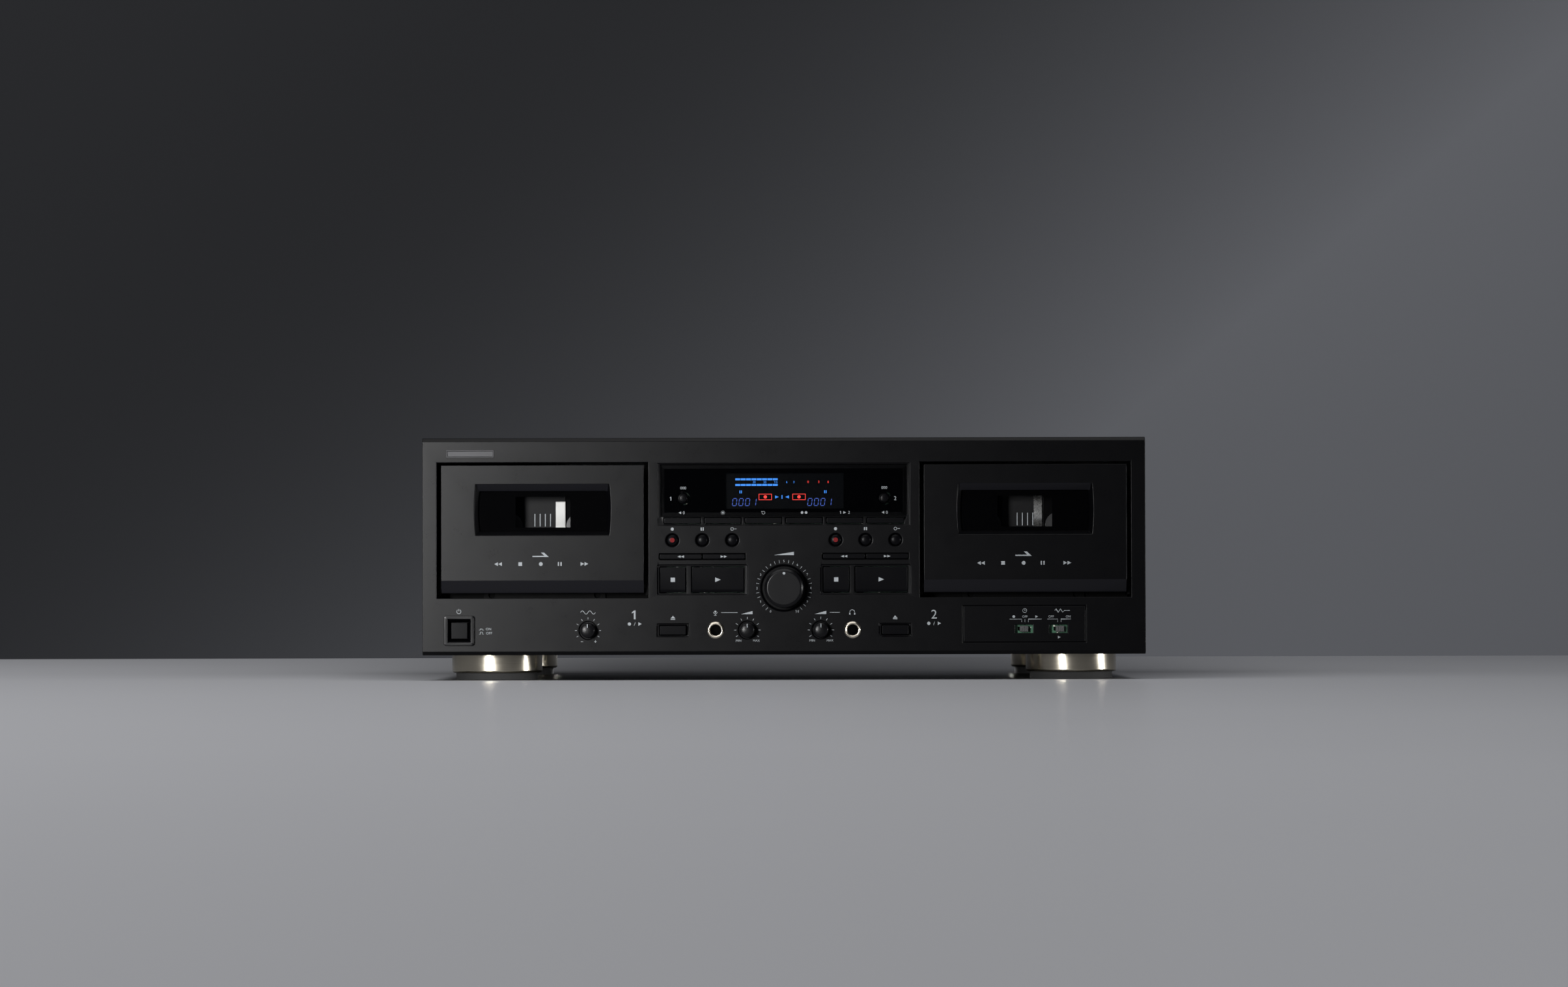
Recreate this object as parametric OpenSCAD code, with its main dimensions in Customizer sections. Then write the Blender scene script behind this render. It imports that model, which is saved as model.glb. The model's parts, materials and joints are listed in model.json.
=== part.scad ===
// Double cassette deck: case, doors, controls and two tape transports.
// Millimetres, +Z up, front towards -Y, origin under the middle of the whole object.

/* [Case] */
// Width of the front panel
panel_w = 435; // [430:1:450]
// Height of the front panel
panel_h = 130.5; // [128:0.5:140]
// Depth from the front panel's face to the back of the cover
case_d = 264; // [255:1:290]
// Wall of the front panel
panel_t = 3; // [2.6:0.1:3.6]
// Depth of the rim behind the front panel's edges
rim_d = 12; // [10:0.5:13]
// Wall of that rim
rim_t = 2.5; // [2:0.1:3]
// Bevel along the front panel's top and bottom edges
panel_bevel = 2; // [1:0.1:2.4]
// Set-in of the cover from each side of the front panel
cover_inset = 2.5; // [2:0.1:4]
// Drop of the cover's top below the front panel's top
cover_drop = 1; // [0.5:0.1:2]
// Gap between the front panel's rim and the cover
cover_gap = 0.3; // [0.2:0.1:1]
// Sheet of the cover and the rear panel
sheet_t = 1; // [0.8:0.1:1.2]
// Sheet of the base pan
pan_t = 1.2; // [1:0.1:1.5]
// Height of the base pan's flanges
flange_h = 20; // [18:0.5:26]
// Height of the lip that the cover bends down over the rear panel
lip_h = 12; // [10:0.5:16]
// Gap between sheets that lie beside each other
sheet_gap = 0.2; // [0.1:0.05:0.4]
// Length of a vent slot in the cover
vent_l = 26; // [15:1:32]
// Width of a vent slot
vent_w = 2.6; // [2:0.1:3.2]
// Step from slot to slot
vent_pitch = 6; // [5:0.5:8]
// Gap between the two rows of slots
vent_gap = 8; // [5:0.5:12]
// Slots in a row
vent_count = 12; // [8:1:12]

/* [Feet] */
// Height of the front panel's lower edge above the floor
foot_h = 15.2; // [13:0.1:18]
// Diameter of a foot's metal ring
foot_dia = 55; // [52:0.5:58]
// Diameter of the rubber pad under it
pad_dia = 50; // [46:0.5:51]
// Height of the pad that shows below the ring
pad_show = 4.2; // [3:0.1:6]
// Depth that the pad sits into the ring
pad_seat = 2; // [1:0.1:3]
// Hole in the middle of the pad
pad_hole = 16; // [12:0.5:20]
// Rounding of the ring's lower edge
foot_round = 1.5; // [0.5:0.1:1.8]
// Feet from the panel's left and right sides
foot_edge = 42.5; // [35:0.5:50]
// Front feet behind the panel's face
foot_front = 42; // [41:1:60]
// Rear feet from the back of the cover
foot_back = 38; // [34:0.5:60]

/* [Fasteners] */
// Diameter of a case screw
screw_dia = 3; // [2.5:0.1:3.5]
// Diameter of its head
screw_head_dia = 6.4; // [5.5:0.1:7]
// Height of its head
screw_head_h = 1.6; // [1.2:0.1:1.9]
// Length of its shank
screw_len = 6; // [5:0.5:8]
// Diameter of a foot screw
foot_screw_dia = 4; // [3:0.1:5]
// Diameter of a foot screw's head
foot_screw_head = 8; // [7:0.1:10]
// Height of a foot screw's head
foot_screw_head_h = 2.6; // [2:0.1:3.5]
// Depth of a foot screw's seat above the pad
foot_screw_sink = 5; // [4:0.1:7]
// Case screws at the rear and under the panel, left and right of the middle
cross_screw_x = 150; // [120:1:165]
// Front side screws behind the panel's face
side_screw_front = 60; // [40:1:90]
// Rear side screws from the back of the cover
side_screw_back = 54; // [30:1:80]
// Gap between a screw and its hole, on the radius
screw_gap = 0.15; // [0.1:0.05:0.3]

/* [Doors] */
// Panel beside a door's opening
door_edge = 8.7; // [8:0.1:10]
// Width of a door
door_w = 122; // [119:0.5:124]
// Height of a door
door_h = 76.9; // [75:0.1:80]
// Door's lower edge above the front panel's lower edge
door_lift = 37.3; // [36.5:0.1:40]
// Gap beside a door
door_side_gap = 2.6; // [2.5:0.1:3.5]
// Gap above a door
door_top_gap = 1.6; // [1:0.1:2.5]
// Gap below a door
door_bottom_gap = 3.1; // [2.8:0.1:3.6]
// Wall of a door
door_wall = 2.5; // [2:0.1:3]
// Depth of a door's side walls
door_depth = 7; // [6:0.1:7.4]
// Height of the band that slopes back along a door's lower edge
door_bevel_h = 7.6; // [6:0.1:9]
// Depth that this band slopes back
door_bevel_d = 3.5; // [2.5:0.1:4]
// Wall of the sleeve behind a door opening
sleeve_t = 1.5; // [1:0.1:1.8]
// Depth that the sleeve reaches behind the face
sleeve_d = 11; // [9:0.5:12]
// Width of the ribs that carry the cassette holder
rib_w = 5; // [3:0.1:6]

/* [Door windows] */
// Width of the sunk window frame at its corners
recess_w = 80.6; // [74:0.1:84]
// Height of the sunk window frame
recess_h = 30.9; // [28:0.1:34]
// Its lower edge above the door's lower edge
recess_lift = 34.6; // [32:0.1:37]
// Depth of the sunk frame
recess_d = 4; // [3:0.1:4.4]
// Outward bow of its short sides
recess_bow = 0.8; // [0:0.1:1.5]
// Slope at its sides
slope_side = 2.3; // [1:0.1:3]
// Slope at its top
slope_top = 4.2; // [2:0.1:5]
// Slope at its bottom
slope_bottom = 2.6; // [1:0.1:4]
// Material round the sunk frame
frame_margin = 3.5; // [3:0.1:4.5]
// Thickness of the window
glass_t = 2; // [1.5:0.1:2.4]
// Lap of the window behind the frame
glass_lap = 1.3; // [0.8:0.1:2]
// Height of the window's raised middle
glass_step = 0.6; // [0.3:0.1:1]

/* [Cassette holders] */
// Room for a cassette's width
well_w = 102; // [101:0.5:103]
// Room for a cassette's thickness
well_t = 12.2; // [12:0.1:12.6]
// Lower edge of the cassette room above the door's lower edge
well_lift = 10.5; // [10:0.1:12]
// Wall of a holder
holder_t = 1.5; // [1.2:0.1:1.8]
// Lap of the holder's lips over a cassette's edge
holder_lip = 5; // [3:0.1:7]
// Height of the holder's rails
holder_h = 60; // [50:1:62]
// Front of the holder behind the panel's face
holder_front = 8; // [7.6:0.1:8.6]
// Lower edge of the holder above the door's lower edge
holder_foot = 1; // [0.8:0.1:1.5]
// Height of the bar that joins the two rails
holder_bar = 5; // [4:0.1:6]
// Width of a cassette support
support_w = 11; // [8:0.5:14]
// Hinge pin's diameter
pin_dia = 3.6; // [3:0.1:3.9]
// Hinge pin behind the panel's face
pivot_d = 10; // [9.5:0.1:10.5]
// Hinge pin above the door's lower edge
pivot_lift = 3.5; // [3.2:0.1:4]
// Gap between a door and its hinge bracket
hinge_gap = 0.7; // [0.5:0.1:0.8]

/* [Transports] */
// Front of the transport plate behind the panel's face
plate_d = 26; // [25.5:0.1:28]
// Thickness of the transport plate
plate_t = 2; // [1.5:0.1:2.4]
// Top of the plate above the door's lower edge
plate_rise = 75.5; // [70:0.5:77]
// Bottom of the plate below the door's lower edge
plate_drop = 4.5; // [3:0.1:6]
// Thickness of a hinge bracket
bracket_t = 1.6; // [1.2:0.1:1.7]
// Front of the hinge brackets behind the panel's face
bracket_d = 7.5; // [6.5:0.1:8]
// Height of a hinge bracket below its pin
bracket_below = 5; // [4:0.1:5.5]
// Height of a hinge bracket above its pin
bracket_above = 7; // [4:0.1:10]
// Middle of the transport's legs left and right of its middle
leg_x = 27.5; // [22:0.5:32]
// Width of a leg
leg_w = 15; // [10:0.5:18]
// Length of a leg's foot
leg_foot = 16; // [12:0.5:20]
// Distance between the two tape hubs
hub_pitch = 42.5; // [42:0.1:43]
// Tape hubs above the door's lower edge
hub_lift = 40.5; // [39:0.1:42]
// Diameter of a spindle's shaft
hub_shaft = 4; // [3:0.1:4.6]
// Diameter of a spindle's hub
hub_dia = 5; // [4.7:0.1:5.4]
// Height of the hub's splines over it
spline_h = 1.1; // [0.6:0.1:1.4]
// Diameter of a reel table
table_dia = 16; // [14:0.5:18]
// Thickness of a reel table
table_t = 2.8; // [2:0.1:3]
// Length of a spindle's pointed tip
tip_l = 1.6; // [1:0.1:2.5]
// Thickness of a spline
spline_t = 0.8; // [0.6:0.1:1.2]
// Thickness of the drive disc
disc_t = 2.4; // [1.6:0.1:2.8]
// Diameter of the drive disc behind the plate
disc_dia = 20; // [16:0.5:22]
// Tip of the spindles behind the panel's face
hub_tip = 13.6; // [13:0.1:15]
// Capstan to the right of the transport's middle
capstan_x = 24; // [23:0.1:25]
// Capstan above the door's lower edge
capstan_lift = 18.5; // [18:0.1:19]
// Diameter of the capstan
capstan_dia = 2.5; // [2:0.1:3]
// Diameter of the flywheel
flywheel_dia = 44; // [38:0.5:48]
// Thickness of the flywheel
flywheel_t = 6.4; // [5:0.1:7]
// Room between the plate and the motor bridge
bridge_gap = 12; // [11.6:0.1:14]
// Thickness of the motor bridge
bridge_t = 1.5; // [1.2:0.1:2]
// Diameter of the posts that carry the motor bridge
bridge_post = 5; // [4:0.1:6]
// Gap between the flywheel and those posts
bridge_room = 1.5; // [1:0.1:3]
// Diameter of the motor
motor_dia = 36; // [30:0.5:40]
// Length of the motor
motor_l = 14; // [10:0.5:18]
// Running gap of a shaft in its bearing, on the radius
run_gap = 0.08; // [0.05:0.01:0.1]
// Gap between moving faces
move_gap = 0.35; // [0.3:0.05:0.5]

/* [Head carriages] */
// Travel of a head carriage
carriage_travel = 7.1; // [6:0.1:7.2]
// Width of a head carriage
carriage_w = 74; // [70:1:80]
// Thickness of its plate
carriage_t = 1.6; // [1.2:0.1:1.8]
// Its lower edge below the door's lower edge
carriage_drop = 5.5; // [4.5:0.1:6]
// Width of the record and play head
head_w = 13; // [10:0.5:15]
// Width of the erase head
erase_w = 7; // [5:0.5:9]
// Depth of the heads
head_l = 10; // [8:0.5:10.5]
// Height of the heads
head_h = 8; // [6:0.1:9]
// Length of the head's mount behind it
head_mount = 2.4; // [1.5:0.1:3]
// Gap between the heads at rest and the cassette
head_clear = 1; // [0.6:0.1:2]
// Top of the carriage plate below the cassette
carriage_clear = 2; // [1.5:0.1:3]
// Length of the pinch roller
roller_l = 7; // [5:0.1:8]
// Diameter of the pinch roller's axle
roller_axle = 2.4; // [1.6:0.1:3]
// Diameter of the pinch roller
roller_dia = 9; // [8:0.1:9.4]
// Diameter of a guide stud
stud_dia = 3; // [2.5:0.1:3.5]
// Diameter of a guide stud's head
stud_head = 6; // [5:0.1:6.5]
// Thickness of a guide stud's head
stud_head_t = 1.2; // [0.8:0.1:1.5]
// Guide stud from the carriage's edge
stud_edge = 5; // [4:0.1:6]
// Guide stud below the top of the carriage plate
stud_below = 2.6; // [2.4:0.1:3]

/* [Display] */
// Panel between the display window and a door's opening
display_edge = 7.4; // [6:0.1:12]
// Height of the display window
display_h = 30.9; // [28:0.1:32]
// Its lower edge above the front panel's lower edge
display_lift = 83.3; // [83.1:0.1:84.5]
// Thickness of the display window
display_t = 2.2; // [1.6:0.1:2.4]
// Rim of the recess round the display window
bezel_rim = 1.5; // [1.2:0.1:2.5]
// Height of that recess
bezel_h = 37.3; // [36.6:0.1:38.5]
// Its lower edge above the front panel's lower edge
bezel_lift = 77.8; // [76.5:0.1:78]
// Depth of that recess
bezel_d = 0.8; // [0.4:0.1:1.2]
// Lap of the ledge behind the display window
ledge_lap = 2.6; // [2:0.1:3.5]
// Thickness of that ledge
ledge_t = 1.6; // [1:0.1:2]
// Width of that ledge round the display window
ledge_rim = 2; // [1.5:0.1:2.5]
// Height of that ledge's sill under the display window
ledge_sill = 0.4; // [0.2:0.05:0.5]
// Gap between a window and its seat
seat_gap = 0.2; // [0.1:0.05:0.3]
// Room between the display tube and the reset buttons' middles
tube_gap = 20.5; // [12:0.5:25]
// Height of the display tube
tube_h = 24; // [20:0.5:25]
// Thickness of the display tube
tube_t = 7; // [5:0.5:8]

/* [Keys] */
// Gap between a key and its slot
key_gap = 0.35; // [0.3:0.05:0.5]
// Travel of a key
key_travel = 0.8; // [0.5:0.1:1.2]
// Gap that is left at the end of a key's travel
key_rest = 0.3; // [0.3:0.05:0.5]
// Overhang of the collar that keeps a key in
collar = 1; // [0.8:0.05:1.05]
// Thickness of that collar
collar_t = 1.2; // [0.8:0.1:1.5]
// Gap between slim keys
slim_seam = 2.63; // [2.5:0.01:4]
// Height of a slim key
slim_h = 3.2; // [2.6:0.1:3.3]
// Rounding of a slim key's corners
slim_r = 0.6; // [0.3:0.1:1]
// Row of slim keys set in from the display window's ends
slim_edge = 0.91; // [0.5:0.01:2]
// Middle of the slim keys above the front panel's lower edge
slim_lift = 80.6; // [80.2:0.1:80.7]
// Diameter of a counter reset button
reset_dia = 4.6; // [3.6:0.1:5.4]
// Reset buttons from the display window's ends
reset_edge = 13.7; // [11:0.1:18]
// Reset buttons above the front panel's lower edge
reset_lift = 94.1; // [93:0.1:102]
// Pocket of a deck's keys from the middle of the panel
block_in = 22.1; // [20:0.1:24]
// Panel between that pocket and the door's opening
block_edge = 5.5; // [5:0.1:7]
// Diameter of a round button
round_dia = 6.2; // [5:0.1:7]
// Height of a round button's dome
round_dome = 1.1; // [0.5:0.1:2]
// Diameter of the sink round a round button
sink_dia = 8.4; // [8:0.1:10]
// Depth of that sink
sink_d = 1; // [0.5:0.1:1.6]
// Round buttons above the front panel's lower edge
round_lift = 68.9; // [67.5:0.1:71]
// Rewind and forward keys set in from the pocket's ends
bar_edge = 1.5; // [1:0.1:4]
// Height of a rewind or forward key
bar_h = 2.8; // [2.2:0.1:3.4]
// Seam between the two
bar_seam = 0.8; // [0.6:0.1:1.2]
// Gap round the two in their slot
bar_gap = 0.5; // [0.4:0.05:0.8]
// How far they stand out of the panel
bar_proud = 0.8; // [0:0.1:1.5]
// Rewind and forward keys above the front panel's lower edge
bar_lift = 59; // [58:0.1:60.5]
// Width of a stop key
stop_w = 15.3; // [13:0.1:15.6]
// Gap between the stop and play keys
stop_seam = 3.85; // [3.5:0.05:6]
// Height of the stop and play keys
transport_h = 15.1; // [13:0.1:16]
// Stop key from the pocket's left end
stop_edge = 1.65; // [1.5:0.05:2]
// Play key from the pocket's right end
play_edge = 2; // [1.5:0.05:2.5]
// Stop and play keys above the front panel's lower edge
transport_lift = 45.1; // [44.8:0.1:45.5]
// How far they stand out of the panel
transport_proud = 1; // [0:0.1:2]
// Bevel along their lower edge
transport_bevel = 2; // [1:0.1:3]
// Height of that pocket
pocket_h = 18; // [17:0.1:19]
// Depth of that pocket
pocket_d = 0.8; // [0.4:0.1:1.5]
// Rounding of that pocket's corners
pocket_r = 1; // [0.5:0.1:2]
// Width of an eject key
eject_w = 15.8; // [12:0.1:17]
// Height of an eject key
eject_h = 5.4; // [4:0.1:6]
// How far an eject key stands out of the panel
eject_proud = 3.2; // [2.8:0.1:4]
// Travel of an eject key
eject_travel = 2.4; // [1.5:0.1:2.5]
// Eject keys left and right of the middle
eject_x = 66.8; // [65:0.1:68]
// Width of the pocket round an eject key
eject_pocket_w = 19.2; // [18.6:0.1:20]
// Height of that pocket
eject_pocket_h = 7.8; // [7.4:0.1:9]

/* [Power switch] */
// Power switch from the panel's left side
power_edge = 22.2; // [20:0.1:24]
// Width of the power bezel
power_w = 18.4; // [17.6:0.1:20]
// Height of the power bezel
power_h = 18; // [17.6:0.1:20]
// How far the bezel stands out of the panel
power_proud = 1.6; // [1:0.1:3]
// Rounding of the bezel's corners
power_r = 1.5; // [0.5:0.1:2.5]
// Width of the hollow in the bezel
power_mouth = 13.8; // [13:0.1:14.4]
// Wall of the bezel's sleeve in the panel
power_sleeve = 15.8; // [15.4:0.1:16.4]
// Depth of the sleeve
power_sleeve_d = 8; // [7.5:0.1:9]
// Width and height of the power button
power_button_w = 9.9; // [9:0.1:10.6]
// Depth of its face behind the panel's face when it is ON
power_sunk = 1.2; // [0.5:0.1:1.5]
// How far it can be pressed past ON
power_over = 0.6; // [0.4:0.1:0.8]
// Width of the power button's stem
power_stem = 4.6; // [3.5:0.1:5.5]
// Width of the switch body
power_body_w = 17; // [14:0.1:18]
// Length of the switch body
power_body_l = 18; // [16:0.5:22]
// Wall at the end of the power switch's body
power_wall = 2; // [1.5:0.1:3]

/* [Knobs] */
// Diameter of the record level knob
knob_dia = 23.5; // [20:0.1:25]
// How far it stands out of the panel
knob_proud = 14; // [12:0.1:16]
// Bevel round its face
knob_bevel = 1.5; // [0.5:0.1:2.5]
// Diameter of its shaft
knob_shaft = 6; // [4:0.1:6.4]
// Outer diameter of the dish round it
dish_dia = 28.4; // [27.5:0.1:30]
// Inner diameter of that dish
dish_inner = 26.6; // [26:0.1:27.4]
// Depth of that dish
dish_d = 2; // [1.5:0.1:2.4]
// Record level knob above the front panel's lower edge
knob_lift = 40; // [38:0.1:42]
// Diameter of a small knob
small_dia = 9.2; // [8:0.1:10]
// How far a small knob stands out of the panel
small_proud = 9; // [6:0.1:11]
// Diameter of a small knob's shaft
small_shaft = 4; // [3:0.1:4.4]
// Diameter of the hole round a small knob
small_ring = 11; // [10.8:0.1:12]
// Depth of that hole
small_ring_d = 2; // [1.5:0.1:2.4]
// Lower row of controls above the front panel's lower edge
row_lift = 14.8; // [14.4:0.1:16]
// Pitch knob from the panel's left side
pitch_edge = 99.6; // [95:0.1:105]
// Level knobs left and right of the middle
level_x = 22.1; // [19:0.1:24]
// Gap between a knob's back and the bottom of its hole
knob_gap = 0.6; // [0.4:0.1:1]
// Gap round a knob's shaft in the panel
shaft_gap = 1; // [0.6:0.1:1.4]
// Taper of a small knob towards its face
small_taper = 0.4; // [0.1:0.1:0.8]
// Height of a small knob's dome
small_dome = 1.2; // [0.5:0.1:2]

/* [Jacks] */
// Jacks left and right of the middle
jack_x = 41.2; // [39:0.1:43]
// Bore of a jack
jack_bore = 6.5; // [6.4:0.05:6.7]
// Outer diameter of a jack's ring
jack_ring = 10.4; // [9.6:0.1:12]
// How far the ring stands out of the panel
jack_proud = 1.4; // [0.8:0.1:2.5]
// Rounding of the ring's outer edge
jack_edge = 0.9; // [0.5:0.1:1.1]
// Lead-in at the jack's mouth
jack_lead = 0.5; // [0.3:0.1:0.8]
// Diameter of a jack's barrel
barrel_dia = 8.6; // [8.2:0.1:9.2]
// Width of a jack's body
jack_body = 13; // [11:0.1:14]
// Depth of a jack's body behind the face
jack_l = 26; // [22:0.5:34]
// Depth of a jack's bore
jack_bore_l = 23; // [20:0.5:30]

/* [Slide switches] */
// Timer switch from the panel's right side
timer_edge = 73.2; // [71:0.1:82]
// Noise reduction switch from the panel's right side
noise_edge = 52.6; // [46:0.1:57]
// Slide switches above the front panel's lower edge
slide_lift = 15.2; // [14.5:0.1:16]
// Width of a slide switch's slot
slide_slot_w = 10.9; // [10.4:0.1:12]
// Height of that slot
slide_slot_h = 5; // [4.6:0.1:6]
// Width of a slider
slider_w = 5; // [4:0.1:5.4]
// Height of a slider
slider_h = 3.6; // [3:0.1:4]
// Step from position to position
slide_step = 2; // [1.5:0.1:2.2]
// Slider's face behind the panel's face
slider_sunk = 0.4; // [0:0.1:1]
// Width of a slider's stem
stem_w = 2.4; // [2:0.1:3]
// Height of a slider's stem
stem_h = 1.6; // [1.2:0.1:2.4]
// Depth of a slider's stem in the switch body
stem_l = 7; // [5:0.1:8]
// Switch body wider and higher than the slot by
slide_body = 3.5; // [3:0.1:5]
// Gap between the panel's wall and a slide switch's body
slide_body_gap = 1.4; // [1:0.1:2]
// Left end of the inset field from the panel's right side
field_edge = 110.2; // [107:0.1:113]
// Width of that field
field_w = 74.3; // [70:0.1:78]
// Height of that field
field_h = 22.4; // [20:0.1:23]
// Its lower edge above the front panel's lower edge
field_lift = 6.9; // [6:0.1:8]
// Width and depth of the line round it
field_line = 0.5; // [0.3:0.1:1]

/* [Boards] */
// Gap between the front panel's wall and the front board
board_gap = 11; // [10.4:0.1:12]
// Thickness of a board
board_t = 1.6; // [1.2:0.1:2]
// Gap between the front board and the door sleeves
board_side = 2.1; // [1.2:0.1:5]
// Width of a push switch on the front board
tact_w = 6; // [4.5:0.1:6.4]
// Height of a push switch on the front board
tact_h = 4.4; // [4:0.1:5]
// Width of a level pot
pot_w = 11; // [9:0.1:12]
// Width of the record level pot
big_pot_w = 17; // [14:0.1:20]
// Gap between the panel's wall and a pot's bushing
pot_gap = 2.4; // [1.5:0.1:3]
// Length of a pot's bushing
bushing_l = 1.6; // [1:0.1:2.5]
// Wall of a pot's bushing
bushing_t = 1.5; // [1:0.1:2]
// Gap between the front board and the base pan
board_clear = 1.2; // [0.6:0.1:2]
// Gap between the front board and the panel's top
board_top_gap = 4.5; // [4:0.1:8]
// Diameter of the posts that carry the front board
post_dia = 6; // [5:0.1:7]
// Main board from the panel's left side
main_left = 82.5; // [70:0.5:95]
// Main board from the panel's right side
main_right = 102.5; // [100:0.5:120]
// Depth of the main board
main_l = 140; // [100:1:150]
// Gap between the main board and the rear panel's face
main_back = 27; // [25:1:60]
// Height of the main board over the base pan
main_lift = 6; // [4:0.1:10]
// Diameter of a capacitor on the main board
cap_dia = 12; // [8:0.5:14]
// Height of a capacitor
cap_h = 20; // [12:0.5:30]
// Step from capacitor to capacitor
cap_pitch = 18; // [16:0.5:24]
// Capacitors in the row
cap_count = 6; // [3:1:8]
// Width of a chip on the main board
chip_w = 28; // [16:0.5:32]
// Depth of a chip
chip_l = 14; // [8:0.5:20]
// Step from chip to chip
chip_pitch = 52; // [36:0.5:56]
// Chips in the row
chip_count = 4; // [2:1:4]
// Rows of parts from the main board's edges
parts_edge = 32; // [24:0.5:40]
// Diameter of the main board's standoffs
standoff_dia = 6; // [4:0.1:8]
// Height of a chip on the main board
chip_h = 2.4; // [1:0.1:4]
// Width of the transformer's core
core_w = 66; // [55:1:75]
// Height of the transformer's core
core_h = 55; // [45:1:65]
// Depth of the transformer's core
core_l = 32; // [25:1:40]
// How far the windings stand out of the core at each end
coil_l = 14; // [8:1:18]
// Thickness of the transformer's foot plate
core_foot_t = 3; // [2:0.1:4]
// How far the foot plate stands out at each side
core_foot_w = 9; // [6:0.5:12]
// Height of the windings
coil_h = 32; // [24:1:36]
// Width of the windings
coil_w = 44; // [36:1:50]
// Gap between the transformer and the rear panel
core_back_gap = 30; // [24:1:40]

/* [Rear sockets] */
// How far a line socket stands out of the rear panel
socket_proud = 8.8; // [7:0.1:10]
// Diameter of a line socket
socket_dia = 8.3; // [7.5:0.1:9]
// Bore for a line plug's pin
socket_bore = 3.4; // [3.2:0.1:4]
// Step from line socket to line socket
socket_pitch = 16; // [14:0.5:20]
// Line sockets from the panel's left side, seen from the front
socket_edge = 77.5; // [60:0.5:90]
// Gap between the bodies of neighbouring line sockets
socket_seam = 0.6; // [0.4:0.1:0.9]
// Depth of a line socket's body
socket_block = 12; // [10:0.5:16]
// Depth of a line socket's bore behind the rear panel
socket_bore_l = 4; // [2:0.5:6]
// Data socket from the panel's left side, seen from the front
data_edge = 125.5; // [115:0.5:140]
// Width of the data socket's opening
data_w = 8.6; // [8:0.1:9]
// Height of the data socket's opening
data_h = 7.9; // [7.4:0.1:8.4]
// Depth of the data socket's opening
data_d = 9; // [8:0.5:12]
// Depth of the data socket's body
data_body = 14; // [12.5:0.5:18]
// How far the data socket stands out of the rear panel
data_proud = 0.8; // [0.4:0.1:1.5]
// Wall of the data socket and of the mains inlet
shell_t = 1.5; // [1:0.1:2]
// Flange of the data socket and of the mains inlet
shell_flange = 3; // [2:0.1:4]
// Mains inlet from the panel's right side, seen from the front
inlet_edge = 52.5; // [45:0.5:60]
// Width of the mains inlet's hollow
inlet_w = 17.4; // [16:0.1:19]
// Height of the mains inlet's hollow
inlet_h = 8.8; // [8:0.1:10]
// Rounding of the mains inlet's hollow
inlet_r = 4; // [1:0.1:4]
// Depth of the mains inlet's hollow
inlet_d = 12; // [10:0.5:14]
// Thickness of the mains inlet's flange
inlet_flange_t = 1.6; // [1:0.1:2.5]
// Gap between the inlet pins' ends and the rear panel's face
inlet_pin_sunk = 3; // [2:0.1:5]
// Diameter of an inlet pin
inlet_pin = 2.4; // [2:0.1:2.6]
// Distance between the inlet pins
inlet_pitch = 8.6; // [8:0.1:9]
// Height of the rear sockets over the base pan
socket_lift = 62; // [45:1:75]

/* [Hidden] */
$fn = 64;
// Reach of a cut past a face, and the thickness of a sheet that only carries an outline
over = 1;
thin = 0.02;
panel_z = foot_h;
panel_top = panel_z + panel_h;
pan_z = panel_z + rim_t;
pan_top = pan_z + pan_t;
cover_x = panel_w / 2 - cover_inset;
cover_top = panel_top - cover_drop;
sheet_x = cover_x - sheet_t - sheet_gap;
rear_y = case_d - sheet_t;
total_d = knob_proud + rear_y + socket_proud;
face_y = knob_proud - total_d / 2;

door_z = panel_z + door_lift;
door_top = door_z + door_h;
opening_w = door_w + 2 * door_side_gap;
door_x = panel_w / 2 - door_edge - opening_w / 2;
middle_x = door_x - opening_w / 2;
opening_z = door_z - door_bottom_gap;
opening_top = door_top + door_top_gap;
recess_z = door_z + recess_lift;
inner_w = recess_w - 2 * slope_side;
inner_h = recess_h - slope_top - slope_bottom;
inner_z = recess_z + slope_bottom + inner_h / 2;
pivot_z = door_z + pivot_lift;
well_z = door_z + well_lift;
well_front = holder_front + holder_t;
well_back = well_front + well_t;
bracket_x = door_w / 2 + hinge_gap;
plate_back = plate_d + plate_t;
bridge_d = plate_back + bridge_gap;
hub_z = door_z + hub_lift;
capstan_z = door_z + capstan_lift;
disc_front = plate_back + move_gap;
disc_back = disc_front + disc_t;
flywheel_front = disc_back + 2 * move_gap;
bridge_span_x = flywheel_dia / 2 + bridge_post / 2 + bridge_room;
bridge_span_z = motor_dia / 2;
carriage_back = plate_d - move_gap;
carriage_d = carriage_back - carriage_t;
carriage_z = door_z - carriage_drop;
carriage_top = well_z - carriage_clear;
roller_z = capstan_z - capstan_dia / 2 - roller_dia / 2 - carriage_travel - move_gap;
stud_x = carriage_w / 2 - stud_edge;
stud_z = carriage_top - stud_below;
slot_r = stud_dia / 2 + move_gap;

display_w = 2 * (middle_x - display_edge);
display_z = panel_z + display_lift;
bezel_w = display_w + 2 * bezel_rim;
slim_pitch = (display_w - 2 * slim_edge) / 6;
slim_w = slim_pitch - slim_seam;
reset_x = display_w / 2 - reset_edge;
tube_w = 2 * (reset_x - tube_gap);
pocket_w = middle_x - block_in - block_edge;
block_x = block_in + pocket_w / 2;
round_pitch = pocket_w / 3;
bar_w = (pocket_w - bar_seam) / 2 - bar_edge;
stop_x = pocket_w / 2 - stop_edge - stop_w / 2;
play_w = pocket_w - stop_edge - stop_w - stop_seam - play_edge;
play_x = pocket_w / 2 - play_edge - play_w / 2;
power_x = panel_w / 2 - power_edge;
pitch_x = panel_w / 2 - pitch_edge;
timer_x = panel_w / 2 - timer_edge;
noise_x = panel_w / 2 - noise_edge;
field_x = panel_w / 2 - field_edge;
bezel_z = panel_z + bezel_lift;
slim_z = panel_z + slim_lift;
reset_z = panel_z + reset_lift;
round_z = panel_z + round_lift;
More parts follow.
